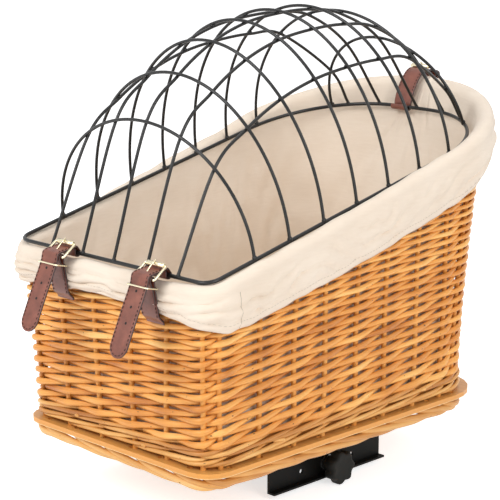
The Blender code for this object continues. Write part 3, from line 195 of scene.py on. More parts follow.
class Shape:
    """Points, quads and end caps gathered for one mesh, with its attributes."""

    def __init__(self):
        self.points, self.quads, self.caps = [], [], []
        self.place, self.tone, self.edge = [], [], []
        self.count = 0

    def add(self, points, quads, caps=(), place=None, tone=0.5, edge=0.0):
        """Adds points (n, 3) and quads that count from 0."""
        size = len(points)
        self.points.append(points)
        self.quads.append(quads + self.count)
        self.caps.extend([tuple(int(i) + self.count for i in cap) for cap in caps])
        self.place.append(np.zeros((size, 3)) if place is None else place)
        self.tone.append(np.broadcast_to(np.asarray(tone, float), (size,)))
        self.edge.append(np.broadcast_to(np.asarray(edge, float), (size,)))
        self.count += size

    def add_grid(self, points, edge=0.0):
        """Adds rows of points that close round, capped at both ends."""
        rows, columns = points.shape[:2]
        self.add(points.reshape(-1, 3), grid_faces(rows, columns), end_caps(rows, columns),
                 edge=edge)

    def tube(self, path, side, up_radius, side_radius=None, sides=8, closed=False, tone=0.5,
             lengthwise=0.0):
        """A tube: at each point an ellipse with half axes along side and square to it.

        It is round where only one radius is given.
        """
        side_radius = up_radius if side_radius is None else side_radius
        if closed:
            tangent = unit(np.roll(path, -1, 0) - np.roll(path, 1, 0))
        else:
            tangent = unit(np.gradient(path, axis=0))
        side = np.broadcast_to(side, path.shape)
        up = unit(np.cross(tangent, side))
        side = np.cross(up, tangent)
        angle = 2 * np.pi * np.arange(sides) / sides
        rows = len(path)
        up_radius = np.broadcast_to(up_radius, (rows,))[:, None, None]
        side_radius = np.broadcast_to(side_radius, (rows,))[:, None, None]
        ring = (np.cos(angle)[None, :, None] * side[:, None, :] * side_radius
                + np.sin(angle)[None, :, None] * up[:, None, :] * up_radius)
        points = (path[:, None, :] + ring).reshape(-1, 3)
        reach = run_lengths(path) + lengthwise
        place = np.stack([np.repeat(reach, sides), np.tile(np.cos(angle), rows),
                          np.tile(np.sin(angle), rows)], axis=1)
        quads = grid_faces(rows, sides, wrap_rows=closed)
        caps = () if closed else end_caps(rows, sides)
        tone = np.repeat(np.broadcast_to(tone, (rows,)), sides)
        self.add(points, quads, caps, place, tone)

    def object(self, name, material):
        """The mesh object, smooth, at the origin, with its place, tone and edge attributes."""
        points = np.concatenate(self.points)
        quads = np.concatenate(self.quads)
        mesh = bpy.data.meshes.new(name)
        mesh.from_pydata(points.tolist(), [], quads.tolist() + [list(cap) for cap in self.caps])
        for title, kind, values in (("place", "FLOAT_VECTOR", self.place),
                                    ("tone", "FLOAT", self.tone), ("edge", "FLOAT", self.edge)):
            layer = mesh.attributes.new(title, kind, "POINT")
            layer.data.foreach_set("vector" if kind == "FLOAT_VECTOR" else "value",
                                   np.concatenate(values).astype(np.float32).ravel())
        mesh.shade_smooth()
        mesh.set_sharp_from_angle(angle=np.radians(50))
        piece = bpy.data.objects.new(name, mesh)
        bpy.context.scene.collection.objects.link(piece)
        mesh.materials.append(material)
        mesh.update()
        face_out(mesh)
        return piece


def mesh_points(mesh):
    """A mesh's points as an array (n, 3)."""
    points = np.empty(len(mesh.vertices) * 3)
    mesh.vertices.foreach_get("co", points)
    return points.reshape(-1, 3)


def face_out(mesh):
    """Turns a closed mesh's faces outwards where its enclosed volume is negative."""
    mesh.calc_loop_triangles()
    points = mesh_points(mesh)
    corners = np.empty(len(mesh.loop_triangles) * 3, int)
    mesh.loop_triangles.foreach_get("vertices", corners)
    a, b, c = (points[corners.reshape(-1, 3)[:, i]] for i in range(3))
    if np.einsum("ij,ij->i", a, np.cross(b, c)).sum() < 0:
        mesh.flip_normals()


# Finishes

class Finish:
    """A material being built: its nodes and the wires between them."""

    def __init__(self, name):
        self.material = bpy.data.materials.new(name)
        self.material.use_nodes = True
        self.nodes = self.material.node_tree.nodes
        self.links = self.material.node_tree.links
        self.shader = self.nodes["Principled BSDF"]

    def feed(self, socket, value):
        """Wires another node's output into a socket, or sets it; a colour is made opaque."""
        if isinstance(value, bpy.types.NodeSocket):
            self.links.new(value, socket)
        elif socket.type == "RGBA":
            socket.default_value = (*value[:3], 1.0)
        else:
            socket.default_value = value

    def node(self, kind, inputs=(), **settings):
        """Adds a node; its inputs are values or other nodes' outputs, by socket."""
        made = self.nodes.new(kind)
        for key, value in settings.items():
            setattr(made, key, value)
        for socket, value in dict(inputs).items():
            self.feed(made.inputs[socket], value)
        return made

    def attribute(self, name, output):
        """Reads an attribute of the mesh."""
        return self.node("ShaderNodeAttribute", attribute_name=name).outputs[output]

    def object_place(self, scale=(1, 1, 1)):
        """Object coordinates, stretched."""
        return self.stretched(self.node("ShaderNodeTexCoord").outputs["Object"], scale)

    def stretched(self, vector, scale):
        """A vector, stretched."""
        return self.node("ShaderNodeMapping", {"Scale": scale, "Vector": vector}).outputs[0]

    def noise(self, vector, scale, detail=3.0, roughness=0.5):
        """Noise from 0 to 1."""
        return self.node("ShaderNodeTexNoise", {"Scale": scale, "Detail": detail, "Vector": vector,
                                                "Roughness": roughness}).outputs["Fac"]

    def sum(self, first, second, times=1.0):
        """second plus times first."""
        return self.node("ShaderNodeMath", {0: first, 1: times, 2: second},
                         operation="MULTIPLY_ADD").outputs[0]

    def ramp(self, factor, stops):
        """Colours at places from 0 to 1."""
        made = self.node("ShaderNodeValToRGB", {"Fac": factor})
        while len(made.color_ramp.elements) < len(stops):
            made.color_ramp.elements.new(0.5)
        for element, (place, colour) in zip(made.color_ramp.elements, stops):
            element.position = place
            element.color = (*colour, 1.0)
        return made.outputs["Color"]

    def mix(self, factor, first, second):
        """Mixes two colours; each may be a colour or an output."""
        made = self.node("ShaderNodeMix", data_type="RGBA")
        for name, value in (("Factor", factor), ("A", first), ("B", second)):
            self.feed([s for s in made.inputs if s.name == name and s.enabled][0], value)
        return [s for s in made.outputs if s.enabled][0]

    def colour(self, source):
        """Wires or sets the base colour."""
        self.feed(self.shader.inputs["Base Color"], source)

    def set(self, **values):
        """Sets the shader's own sockets; underscores stand for spaces."""
        for key, value in values.items():
            self.feed(self.shader.inputs[key.replace("_", " ")], value)

    def bump(self, height, distance):
        """Raises the surface by a height, and gives the finished material."""
        made = self.node("ShaderNodeBump", {"Distance": distance, "Strength": 1.0,
                                            "Height": height})
        self.links.new(made.outputs[0], self.shader.inputs["Normal"])
        return self.material


def shade(colour, share):
    """A colour made darker, or lighter with a share over 1."""
    return tuple(share * part for part in colour)


def willow(name, stops):
    """Peeled willow: streaks along each rod, a tone of its own, small knots, thin varnish."""
    finish = Finish(name)
    place = finish.attribute("place", "Vector")
    tone = finish.attribute("tone", "Fac")
    grain = finish.noise(finish.stretched(place, (14.0, 2.6, 2.6)), 1.0, 4.0, 0.6)
    patches = finish.noise(finish.object_place((28, 28, 28)), 1.0, 2.0)
    level = finish.sum(grain, tone, 0.55)
    level = finish.sum(patches, level, 0.50)
    level = finish.sum(level, -0.52, 1.0)
    colour = finish.ramp(level, stops)
    knots = finish.noise(finish.stretched(place, (150.0, 1.3, 1.3)), 1.0, 1.0)
    spots = finish.ramp(knots, [(0.0, (0, 0, 0)), (0.735, (0, 0, 0)), (0.78, (1, 1, 1))])
    finish.colour(finish.mix(spots, colour, (0.16, 0.050, 0.012)))
    finish.set(Roughness=0.42, Specular_IOR_Level=0.4, Coat_Weight=0.12, Coat_Roughness=0.3)
    return finish.bump(grain, 0.00035)


WILLOW_STOPS = [(0.0, (0.40, 0.115, 0.016)), (0.34, (0.72, 0.282, 0.052)),
                (0.66, (0.90, 0.440, 0.108)), (1.0, (0.98, 0.64, 0.23))]
PALE_STOPS = [(0.0, (0.42, 0.150, 0.028)), (0.34, (0.67, 0.310, 0.078)),
              (0.66, (0.82, 0.450, 0.140)), (1.0, (0.92, 0.60, 0.26))]
STAKE_STOPS = [(0.0, (0.40, 0.125, 0.018)), (0.5, (0.74, 0.31, 0.055)),
               (1.0, (0.90, 0.47, 0.125))]


def plywood():
    """Birch plywood: grain on the faces, thin dark glue lines and paler plies at the edge."""
    finish = Finish("plywood_finish")
    grain = finish.noise(finish.object_place((14, 220, 220)), 1.0, 5.0, 0.6)
    face = finish.ramp(grain, [(0.25, (0.58, 0.27, 0.062)), (0.7, (0.74, 0.38, 0.105))])
    spot = finish.node("ShaderNodeTexCoord").outputs["Object"]
    height = finish.node("ShaderNodeSeparateXYZ", {"Vector": spot}).outputs["Z"]
    layer = finish.sum(height, -BOARD_BOTTOM / BOARD_THICKNESS, 1 / BOARD_THICKNESS)
    dark, pale, ply = (0.52, 0.19, 0.030), (0.90, 0.58, 0.25), (0.76, 0.33, 0.058)
    plies = finish.ramp(layer, [(0.0, pale), (0.11, pale), (0.15, dark), (0.19, ply),
                                (0.44, ply), (0.47, dark), (0.50, ply), (1.0, ply)])
    long_grain = finish.noise(finish.object_place((30, 30, 900)), 1.0, 3.0)
    plies = finish.mix(finish.sum(long_grain, -0.38, 0.6), plies, (0.58, 0.24, 0.045))
    normal = finish.node("ShaderNodeNewGeometry").outputs["True Normal"]
    facing = finish.node("ShaderNodeSeparateXYZ", {"Vector": normal}).outputs["Z"]
    flat = finish.node("ShaderNodeMath", {0: facing}, operation="ABSOLUTE").outputs[0]
    finish.colour(finish.mix(flat, plies, face))
    finish.set(Roughness=0.45, Coat_Weight=0.2, Coat_Roughness=0.3)
    return finish.bump(grain, 0.0002)


def batten_wood():
    """Plain softwood with a long grain."""
    finish = Finish("batten_finish")
    grain = finish.noise(finish.object_place((12, 160, 160)), 1.0, 5.0, 0.65)
    finish.colour(finish.ramp(grain, [(0.3, (0.40, 0.20, 0.072)), (0.7, (0.62, 0.37, 0.16))]))
    finish.set(Roughness=0.6)
    return finish.bump(grain, 0.0003)


def cotton(name, pale, dark, thread=2400.0):
    """Undyed cotton cloth: a plain weave of threads, slubs, and faint soft shading."""
    finish = Finish(name)
    place = finish.object_place()
    slubs = finish.noise(finish.object_place((60, 60, 420)), 1.0, 3.0)
    large = finish.noise(place, 16.0, 3.0)
    level = finish.sum(slubs, large, 0.5)
    finish.colour(finish.ramp(level, [(0.45, dark), (0.95, pale)]))
    threads = finish.noise(place, thread, 1.0)
    height = finish.sum(threads, slubs, 0.6)
    finish.set(Roughness=0.92, Sheen_Weight=0.25, Sheen_Roughness=0.5, Specular_IOR_Level=0.2)
    return finish.bump(height, 0.00022)


def leather():
    """Brown strap leather: fine grain, darker worn clouds, dark painted edges."""
    finish = Finish("leather_finish")
    place = finish.object_place()
    cells = finish.node("ShaderNodeTexVoronoi", {"Scale": 1500.0, "Vector": place},
                        feature="F1").outputs["Distance"]
    clouds = finish.noise(place, 70.0, 4.0, 0.6)
    colour = finish.ramp(clouds, [(0.25, (0.130, 0.033, 0.018)), (0.55, (0.215, 0.062, 0.037)),
                                  (0.85, (0.31, 0.100, 0.062))])
    edge = finish.attribute("edge", "Fac")
    finish.colour(finish.mix(edge, colour, (0.030, 0.010, 0.009)))
    finish.set(Roughness=0.42, Specular_IOR_Level=0.5, Coat_Weight=0.15, Coat_Roughness=0.35)
    return finish.bump(finish.sum(cells, clouds, 0.6), 0.00018)


def metal(name, colour, roughness):
    """Bare or plated metal with faint handling marks."""
    finish = Finish(name)
    marks = finish.noise(finish.object_place(), 220.0, 4.0, 0.6)
    finish.colour(finish.mix(marks, shade(colour, 0.82), colour))
    finish.set(Metallic=1.0, Roughness=finish.sum(marks, roughness - 0.06, 0.12))
    return finish.bump(marks, 0.00003)


def coated(name, colour, roughness, grain=1400.0, depth=0.00006, coat=0.0, gloss=0.5):
    """Powder coat or moulded plastic: a fine even grain."""
    finish = Finish(name)
    grains = finish.noise(finish.object_place(), grain, 2.0)
    marks = finish.noise(finish.object_place(), 45.0, 3.0)
    finish.colour(finish.mix(marks, shade(colour, 0.75), shade(colour, 1.3)))
    finish.set(Roughness=finish.sum(marks, roughness - 0.06, 0.12), Coat_Weight=coat,
               Coat_Roughness=0.2, Specular_IOR_Level=gloss)
    return finish.bump(grains, depth)


def plain_thread(name, colour):
    """Sewing thread: twisted, a little fuzzy."""
    finish = Finish(name)
    twist = finish.noise(finish.object_place(), 3200.0, 1.0)
    finish.colour(finish.mix(twist, shade(colour, 0.7), colour))
    finish.set(Roughness=0.8)
    return finish.bump(twist, 0.0001)


ROD_WILLOW = willow("willow_finish", WILLOW_STOPS)
PALE_WILLOW = willow("pale_willow_finish", PALE_STOPS)
STAKE_WILLOW = willow("stake_willow_finish", STAKE_STOPS)
BOARD_WOOD = plywood()
BATTEN_WOOD = batten_wood()
LINER_COTTON = cotton("liner_finish", (0.85, 0.735, 0.615), (0.79, 0.665, 0.540))
CUSHION_COTTON = cotton("cushion_finish", (0.81, 0.69, 0.56), (0.74, 0.61, 0.48), 1800.0)
STRAP_LEATHER = leather()
BRASS = metal("brass_finish", (0.90, 0.81, 0.58), 0.22)
ZINC = metal("zinc_finish", (0.62, 0.62, 0.60), 0.36)
BLACK_WIRE = coated("black_wire_finish", (0.007, 0.007, 0.007), 0.30, coat=0.05, gloss=0.4)
BLACK_STEEL = coated("black_steel_finish", (0.006, 0.006, 0.0055), 0.50, gloss=0.12)
KNOB_PLASTIC = coated("knob_finish", (0.017, 0.017, 0.015), 0.6, 900.0, 0.0001, gloss=0.15)
STRAP_THREAD = plain_thread("strap_thread_finish", (0.040, 0.012, 0.008))
LINER_THREAD = plain_thread("liner_thread_finish", (0.62, 0.54, 0.44))
# Near black for the punched holes: painted shade standing in for the inside of each hole.
HOLE_PAINTED_SHADE = coated("punched_hole_painted_shade", (0.010, 0.006, 0.005), 0.8)


LID_TO_BASKET = ("lid", "basket")


def settle(piece, body, slot, *nodes):
    """Lets a piece ride on a body and stand for its nodes, which it hides; the slot is not used.

    The far strap, which runs from the lid to the basket and folds over the rim, is baked in place
    and rides on neither.
    """
    if body == LID_TO_BASKET:
        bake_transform(piece)
    else:
        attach(piece, body)
    if nodes:
        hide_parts(*nodes)
    return piece


# Wicker

STAKE_HALF = (0.028, 0.083, 0.1398, 0.1641, 0.2254, 0.2804, 0.3294, 0.3824, 0.4324, 0.4874,
              0.5384, 0.5656, 0.6153, 0.665, 0.7147)
STAKES = np.array(STAKE_HALF + tuple(WHOLE_ROUND - t for t in reversed(STAKE_HALF)))
STAKE_COUNT = len(STAKES)
MIDDLE_INSET = 0.0082
WEAVE_STOP, STAKE_STOP = 0.0205, 0.019
LOW_WEAVE_TOP = 0.115
IN_FRONT, BEHIND = 0.74, 0.26


def stake_place(u):
    """Metres round the foot for a count of stakes u, where stake number i stands at u = i."""
    turns = np.concatenate([STAKES - WHOLE_ROUND, STAKES, STAKES + WHOLE_ROUND])
    return np.interp(u, np.arange(-STAKE_COUNT, 2 * STAKE_COUNT), turns)


def weave():
    """French randing: a rod starts at every stake, and all of them climb as they go round.

    Each passes in front of one stake and behind the next and rises one row from stake to
    stake, so its offset from the stakes is a rounded zigzag of the stake count. A rod is
    fattest in front of a stake. Rows get thinner and closer with height, and all stop under
    the liner, which follows the sloping rim.
    """
    low, high = Shape(), Shape()
    heights = [0.0292, 0.0350]
    while heights[-1] < 0.40:
        heights.append(heights[-1] + row_pitch(heights[-1]))
    steps = 9
    for rod in range(STAKE_COUNT):
        climb = np.arange(-0.9, len(heights) - 2, 1 / steps)
        u = rod + climb
        t = stake_place(u % STAKE_COUNT)
        h = np.interp(climb, np.arange(-1, len(heights) - 1), heights)
        pitch = row_pitch(h)
        swing = np.arcsin(0.95 * np.cos(np.pi * climb)) / np.arcsin(0.95)
        swell = 1 + 0.07 * ripple(u, 0, 200 + rod, 9.0, 1.0, 6)
        h = h + 0.0004 * ripple(u, 0, 100 + rod, 2.0, 1.0, 8)
        out_radius = 0.0031 * (pitch / 0.0071) ** 0.5 * swell
        up_radius = pitch * swell * (0.485 + 0.105 * np.maximum(swing, 0) ** 1.5)
        offset = 0.0002 + 0.0048 * swing + 0.0003 * ripple(u, 0, 300 + rod, 1.4, 1.0, 6)
        path = wall_point(t, h, MIDDLE_INSET - offset)
        out = outward_of(t, h)
        tone = 0.53 + 0.12 * random.normal() + 0.12 * ripple(u, 0, 500 + rod, 3.0, 1.0, 8)
        inside = h < rim_height(t) - WEAVE_STOP
        edges = np.flatnonzero(np.diff(np.concatenate([[0], inside.astype(int), [0]])))
        for first, last in zip(edges[::2], edges[1::2]):
            if last - first < 2 * steps // 3:
                continue
            part = slice(first, last)
            shape = low if h[part].mean() < LOW_WEAVE_TOP else high
            shape.tube(path[part], out[part], up_radius[part], out_radius[part],
                       tone=tone[part], lengthwise=3.1 * rod + first / 40)
    settle(low.object("woven_rods_low", ROD_WILLOW), "basket", "willow", "wicker_wall")
    settle(high.object("woven_rods_high", ROD_WILLOW), "basket", "willow")


def row_pitch(h):
    """Height of one row of weave: less towards the rim."""
    return np.maximum(0.0071 - 0.0125 * (h - 0.04), 0.0036)


def outward_of(t, h):
    """Level outward directions of the wall at places round it."""
    step = 0.0005
    run = wall_point(t + step, h) - wall_point(t - step, h)
    return unit(np.stack([run[..., 1], -run[..., 0], 0 * run[..., 0]], axis=-1))


def stakes():
    """The upright rods that the weave passes round, from the board to under the rim."""
    shape = Shape()
    for number, t in enumerate(STAKES):
        top = rim_height(np.array([t]))[0] - STAKE_STOP
        h = np.linspace(-0.001, top, 14)
        wander = 0.0012 * np.sin(h * random.uniform(20, 40) + random.uniform(0, 6))
        path = wall_point(t + wander, h, MIDDLE_INSET)
        radius = 0.0034 - 0.0025 * h
        shape.tube(path, outward_of(np.full(14, t), h), radius,
                   tone=0.5 + 0.18 * random.normal(), lengthwise=number * 1.7)
    settle(shape.object("willow_stakes", STAKE_WILLOW), "basket", "willow")


def wale():
    """Three rods twisted together on the board, in two rounds, with rods behind them painted in
    the darkest tone as shade.

    Each passes in front of two stakes and behind one, rising while it is in front.
    """
    shape = Shape()
    u = np.arange(0, STAKE_COUNT, 1 / 12)
    t = stake_place(u)
    for turn in range(2):
        for strand in range(3):
            phase = ((u - strand + turn) / 3) % 1.0
            front = np.clip(phase / IN_FRONT, 0, 1)
            behind = np.clip((phase - IN_FRONT) / BEHIND, 0, 1)
            lift = np.where(phase < IN_FRONT, front - 0.5, 0.5 * np.cos(np.pi * behind))
            offset = np.where(phase < IN_FRONT, np.sin(np.pi * front) ** 0.7,
                              -0.9 * np.sin(np.pi * behind))
            h = 0.0148 + 0.0106 * turn + 0.0094 * lift
            h = h + 0.0006 * ripple(t, 0, 700 + 3 * turn + strand, 0.1, 1.0, 6)
            path = wall_point(t, h, MIDDLE_INSET + 0.0004 - 0.0060 * offset)
            swell = 1 + 0.12 * np.sin(2 * np.pi * t / WHOLE_ROUND * 2 + strand * 2 + turn)
            tone = 0.5 + 0.16 * random.normal() + 0.12 * ripple(t, 0, 800 + strand, 0.2, 1, 6)
            up_radius = 0.0026 * swell * (0.72 + 0.28 * np.clip(offset, 0, 1))
            shape.tube(path, outward_of(t, 0.02), up_radius, 0.0025 * swell,
                       closed=True, tone=tone, lengthwise=2.3 * strand + 7.9 * turn)
    # The three rods behind take tone 0, the darkest willow colour, as painted shade.
    for number, height in enumerate((0.0096, 0.0170, 0.0250)):
        inner = wall_point(t, height + 0.0004 * ripple(t, 0, 740 + number, 0.1, 1.0, 6),
                           0.0124)
        shape.tube(inner, outward_of(t, 0.02), 0.0038, 0.0026, closed=True, tone=0.0)
    settle(shape.object("waled_rods", PALE_WILLOW), "basket", "willow", "base_wale")


def cut_ends():
    """Butts of rods that stand out of the wale and the weave, cut off slantwise."""
    shape = Shape()
    for number, u in enumerate((0.45, 4.6, 9.3, 15.5, 21.3, 26.5, 28.4)):
        t = float(stake_place(np.array([u]))[0])
        h = 0.015 + 0.0045 * (number % 4)
        start = wall_point(t - 0.012, h, 0.006)
        end = wall_point(t, h + 0.001, 0.006) + outward_of(np.array([t]), h)[0] * 0.0058
        path = np.linspace(start, end, 5)
        shape.tube(path, Z_AXIS, 0.0020, tone=0.6, lengthwise=number)
    settle(shape.object("cut_rod_ends", PALE_WILLOW), "basket", "willow")


def foot_border():
    """Under the board each stake's end turns along the wall, sloping down past the next two.

    It stays close to the board for a short way only, which leaves a slit before the next one.
    """
    shape = Shape()
    share = np.linspace(0, 1, 34)
    for number in range(STAKE_COUNT):
        u = number + 2.85 * share
        t = stake_place(u)
        h = np.interp(share, [0, 0.05, 0.12, 0.38, 0.72, 1.0],
                      [0.0015, -0.0028, -0.0042, -0.0088, -0.0130, -0.0128])
        inset = np.interp(share, [0, 0.07, 0.18, 0.40, 0.68, 0.86, 1.0],
                          [0.0080, 0.0058, 0.0032, 0.0022, 0.0032, 0.0070, 0.0098])
        smooth = np.ones(5) / 5
        h = np.convolve(np.pad(h, 2, mode="edge"), smooth, "valid")
        inset = np.convolve(np.pad(inset, 2, mode="edge"), smooth, "valid")
        radius = 0.0042 * (1 - 0.16 * share) * (1 + 0.06 * random.normal())
        path = wall_point(t, h + 0.0004 * random.normal(), inset)
        shape.tube(path, outward_of(t, 0.0), radius, sides=10,
                   tone=0.5 + 0.16 * random.normal(), lengthwise=number * 0.9)
    settle(shape.object("plaited_foot", PALE_WILLOW), "basket", "willow", "foot_border")


# Liner and cushion

HEM_PLACES = (0.0, 0.0871, 0.1121, 0.1354, 0.1493, 0.1684, 0.1985, 0.2669, 0.3385, 0.5445,
              0.5656, 0.6153, HALF_ROUND)
HEM_DROPS = (0.0300, 0.0338, 0.0358, 0.0411, 0.0457, 0.0534, 0.0552, 0.0582, 0.0612, 0.0615,
             0.0585, 0.0530, 0.0500)
CLOTH = 0.0009
LINER_FLOOR, LINER_INSET, FLOOR_ROUND = 0.0105, 0.0172, 0.010
SKIRT_ROWS = 22
HEM_SEAM, STITCH_PITCH = 0.0088, 0.0046


def hem_drop(t):
    """How far the skirt's hem hangs below the crest, as measured round the right half."""
    s = np.minimum(t % WHOLE_ROUND, WHOLE_ROUND - t % WHOLE_ROUND)
    return np.interp(s, HEM_PLACES, HEM_DROPS)


def liner_rows(t):
    """The liner's middle surface as rows of points: floor, inner wall, fold, skirt and hem."""
    crest = rim_height(t)
    rows = []
    for share in (0.12, 0.45, 0.8, 0.95):
        edge = wall_point(t, LINER_FLOOR, LINER_INSET + FLOOR_ROUND)
        middle = np.array([0.0, 0.008, LINER_FLOOR + BOARD_BOTTOM])
        rows.append(middle + (edge - middle) * share)
    for share in (0.25, 0.6, 1.0):
        angle = share * np.pi / 2
        rows.append(wall_point(t, LINER_FLOOR + FLOOR_ROUND * (1 - np.cos(angle)),
                               LINER_INSET + FLOOR_ROUND * (1 - np.sin(angle))))
    low = LINER_FLOOR + FLOOR_ROUND
    top = crest - RIM_DROP
    for share in np.linspace(0, 1, 26)[1:]:
        h = low + (top - low) * share
        slack = np.sin(np.pi * share) ** 0.7
        fold = 0.0026 * ripple(t + 0.10 * share, 0.25 * share, 21, 0.060, 0.5)
        fold = fold + 0.0022 * ripple(t - 0.14 * share, share, 22, 0.11, 0.30)
        rows.append(wall_point(t, h, LINER_INSET - 0.0002 + slack * np.abs(fold) + 0.0010 * slack))
    pressed = (np.exp(-((t - 0.0765) / 0.020) ** 2)
               + np.exp(-((t - WHOLE_ROUND + 0.0602) / 0.020) ** 2))
    for angle in np.linspace(0, np.pi, 12)[1:-1]:
        puff = 1 + 0.07 * ripple(t, 0.3 * angle, 23, 0.10, 2.0)
        radius = 0.0102 * puff
        rows.append(wall_point(t, top + radius * np.sin(angle) * (1.26 - 0.40 * pressed),
                               RIM_INSET + (radius + 0.0008) * np.cos(angle)))
    drop = hem_drop(t) + 0.0009 * ripple(t, 0, 24, 0.06, 1.0)
    for share in np.linspace(0, 1, SKIRT_ROWS):
        below = RIM_DROP + (drop - RIM_DROP) * share
        run = share * (drop - RIM_DROP)
        puff = np.sin(np.pi * share) ** 0.8
        near_corner = np.exp(-((np.minimum(t, WHOLE_ROUND - t) - 0.17) / 0.06) ** 2)
        phase = (2.4 + 1.1 * near_corner) * share + 0.60 * ripple(t, 0, 25, 0.30, 1.0)
        phase = phase + 0.20 * ripple(t, run, 27, 0.07, 0.05)
        crease = 2 * np.abs(np.sin(np.pi * phase)) ** 0.7 - 1.1
        depth = 0.0023 + 0.0010 * ripple(t, run, 28, 0.13, 0.2) + 0.0006 * near_corner
        wrinkle = depth * crease + 0.0008 * ripple(t + 1.2 * run, run, 26, 0.05, 0.03)
        hem = np.exp(-((drop - below - HEM_SEAM) / 0.0011) ** 2)
        stand = 0.0042 + 0.0040 * puff + (0.10 + 0.90 * puff) * wrinkle - 0.0009 * hem
        stand = np.maximum(stand, 0.0026)
        rows.append(wall_point(t, crest - below, -stand))
    return np.array(rows)


def cloth_area(rows):
    """Area of the grid of points, as the sum of its quads' halved diagonals' cross products."""
    one = np.roll(rows, -1, axis=1)[1:] - rows[:-1]
    two = rows[1:] - np.roll(rows, -1, axis=1)[:-1]
    return 0.5 * np.linalg.norm(np.cross(one, two), axis=-1).sum()


def liner():
    """Cotton liner: one sheet from the floor over the rim to a sewn hem, made solid."""
    t = np.linspace(0, WHOLE_ROUND, 560, endpoint=False)
    rows = liner_rows(t)
    shape = Shape()
    shape.add(rows.reshape(-1, 3), grid_faces(*rows.shape[:2]), [range(len(t))])
    piece = shape.object("cotton_liner", LINER_COTTON)
    sides = piece.modifiers.new("cloth", "SOLIDIFY")
    sides.thickness = CLOTH
    sides.offset = 0
    area = cloth_area(rows)
    settle(piece, "basket", "cotton", "liner")
    hem_stitches()
    corner_seams()


def hem_stitches():
    """Short stitches along the sewn hem."""
    places = np.arange(0, WHOLE_ROUND, STITCH_PITCH)
    start = on_skirt(places, HEM_SEAM)
    end = on_skirt(places + 0.0030, HEM_SEAM)
    shape = Shape()
    dashes(shape, start, end, outward_of(places, 0.2), 0.00022)
    return settle(shape.object("hem_stitching", LINER_THREAD), "basket", "cotton")


def on_skirt(t, run):
    """Places on the liner's rows at a height above the hem, from the same formula."""
    rows = liner_rows(t)[-SKIRT_ROWS:]
    drop = hem_drop(t)
    share = 1 - run / (drop - RIM_DROP)
    spot = share * (SKIRT_ROWS - 1)
    low = np.clip(np.floor(spot).astype(int), 0, SKIRT_ROWS - 2)
    part = (spot - low)[:, None]
    column = np.arange(len(t))
    point = rows[low, column] * (1 - part) + rows[low + 1, column] * part
    return point + outward_of(t, 0.2) * (CLOTH / 2 + 0.0001)


def dashes(shape, start, end, out, radius):
    """Stitches: flattened six-sided spindles from start to end."""
    along = end - start
    side = unit(np.cross(along, out))
    steps = np.array([0.0, 0.12, 0.5, 0.88, 1.0])
    widths = np.array([0.35, 0.85, 1.0, 0.85, 0.35])
    lift = np.array([-0.6, 0.4, 0.7, 0.4, -0.6])
    angle = 2 * np.pi * np.arange(6) / 6
    centre = (start[:, None, :] + along[:, None, :] * steps[None, :, None]
              + out[:, None, :] * (lift * radius)[None, :, None])
    ring = (side[:, None, None, :] * np.cos(angle)[None, None, :, None]
            + out[:, None, None, :] * np.sin(angle)[None, None, :, None])
    points = centre[:, :, None, :] + ring * (widths * radius)[None, :, None, None]
    for stitch in points:
        shape.add_grid(stitch)


def corner_seams():
    """Upright sewn seams of the skirt at the near corners and the middle of the far end."""
    shape = Shape()
    for t in (0.1800, WHOLE_ROUND - 0.1800, HALF_ROUND):
        run = np.linspace(0.0005, hem_drop(t) - RIM_DROP - 0.001, 14)
        places = np.full(14, t) + 0.0008 * np.sin(run * 160)
        path = np.array([on_skirt(places[i:i + 1], run[i])[0] for i in range(14)])
        shape.tube(path, outward_of(places, 0.2), 0.00035, sides=6)
    return settle(shape.object("corner_seams", LINER_THREAD), "basket", "cotton")


TUFTS = [(x, y) for x in (-0.062, 0.062) for y in (-0.115, 0.012, 0.139)]
CUSHION_FLOOR, CUSHION_MIDDLE = 0.0122, 0.0275
BLOW_FRAMES, BLOW_MOVE = 20, 0.006


def plump(piece):
    """Fills the cushion by cloth simulation: its cover, cut 3% large, is blown up from inside.

    The tufts and the seam round the middle are held, and no point moves more than 6 mm.
    """
    cells = piece.modifiers.new("cells", "REMESH")
    cells.mode = "VOXEL"
    cells.voxel_size = 0.0055
    cells.use_smooth_shade = True
    graph = bpy.context.evaluated_depsgraph_get()
    mesh = bpy.data.meshes.new_from_object(piece.evaluated_get(graph))
    piece.modifiers.clear()
    piece.data = mesh
    start = mesh_points(mesh)
    held = np.abs(start[:, 2] - CUSHION_MIDDLE - BOARD_BOTTOM) < 0.0028
    for x, y in TUFTS:
        held |= np.hypot(start[:, 0] - x, start[:, 1] - y) < 0.006
    group = piece.vertex_groups.new(name="sewn")
    group.add(np.flatnonzero(held).tolist(), 1.0, "REPLACE")
    cover = piece.modifiers.new("cover", "CLOTH")
    cover.settings.vertex_group_mass = "sewn"
    cover.settings.use_pressure = True
    cover.settings.uniform_pressure_force = 4.0
    cover.settings.shrink_min = -0.03
    cover.settings.effector_weights.gravity = 0.0
    cover.settings.bending_stiffness = 0.2
    cover.settings.quality = 6
    cover.point_cache.frame_start = 1
    cover.point_cache.frame_end = BLOW_FRAMES
    for number in range(1, BLOW_FRAMES + 1):
        bpy.context.scene.frame_set(number)
    graph = bpy.context.evaluated_depsgraph_get()
    move = mesh_points(piece.evaluated_get(graph).data) - start
    length = np.linalg.norm(move, axis=1, keepdims=True)
    start = start + move * np.minimum(1.0, BLOW_MOVE / np.maximum(length, 1e-9))
    piece.modifiers.clear()
    piece.vertex_groups.clear()
    bpy.context.scene.frame_set(1)
    start[:, 2] = np.maximum(start[:, 2], BOARD_BOTTOM + CUSHION_FLOOR)
    mesh.vertices.foreach_set("co", start.reshape(-1))
    mesh.update()
    finer = piece.modifiers.new("finer", "SUBSURF")
    finer.levels = 1
    finer.render_levels = 1


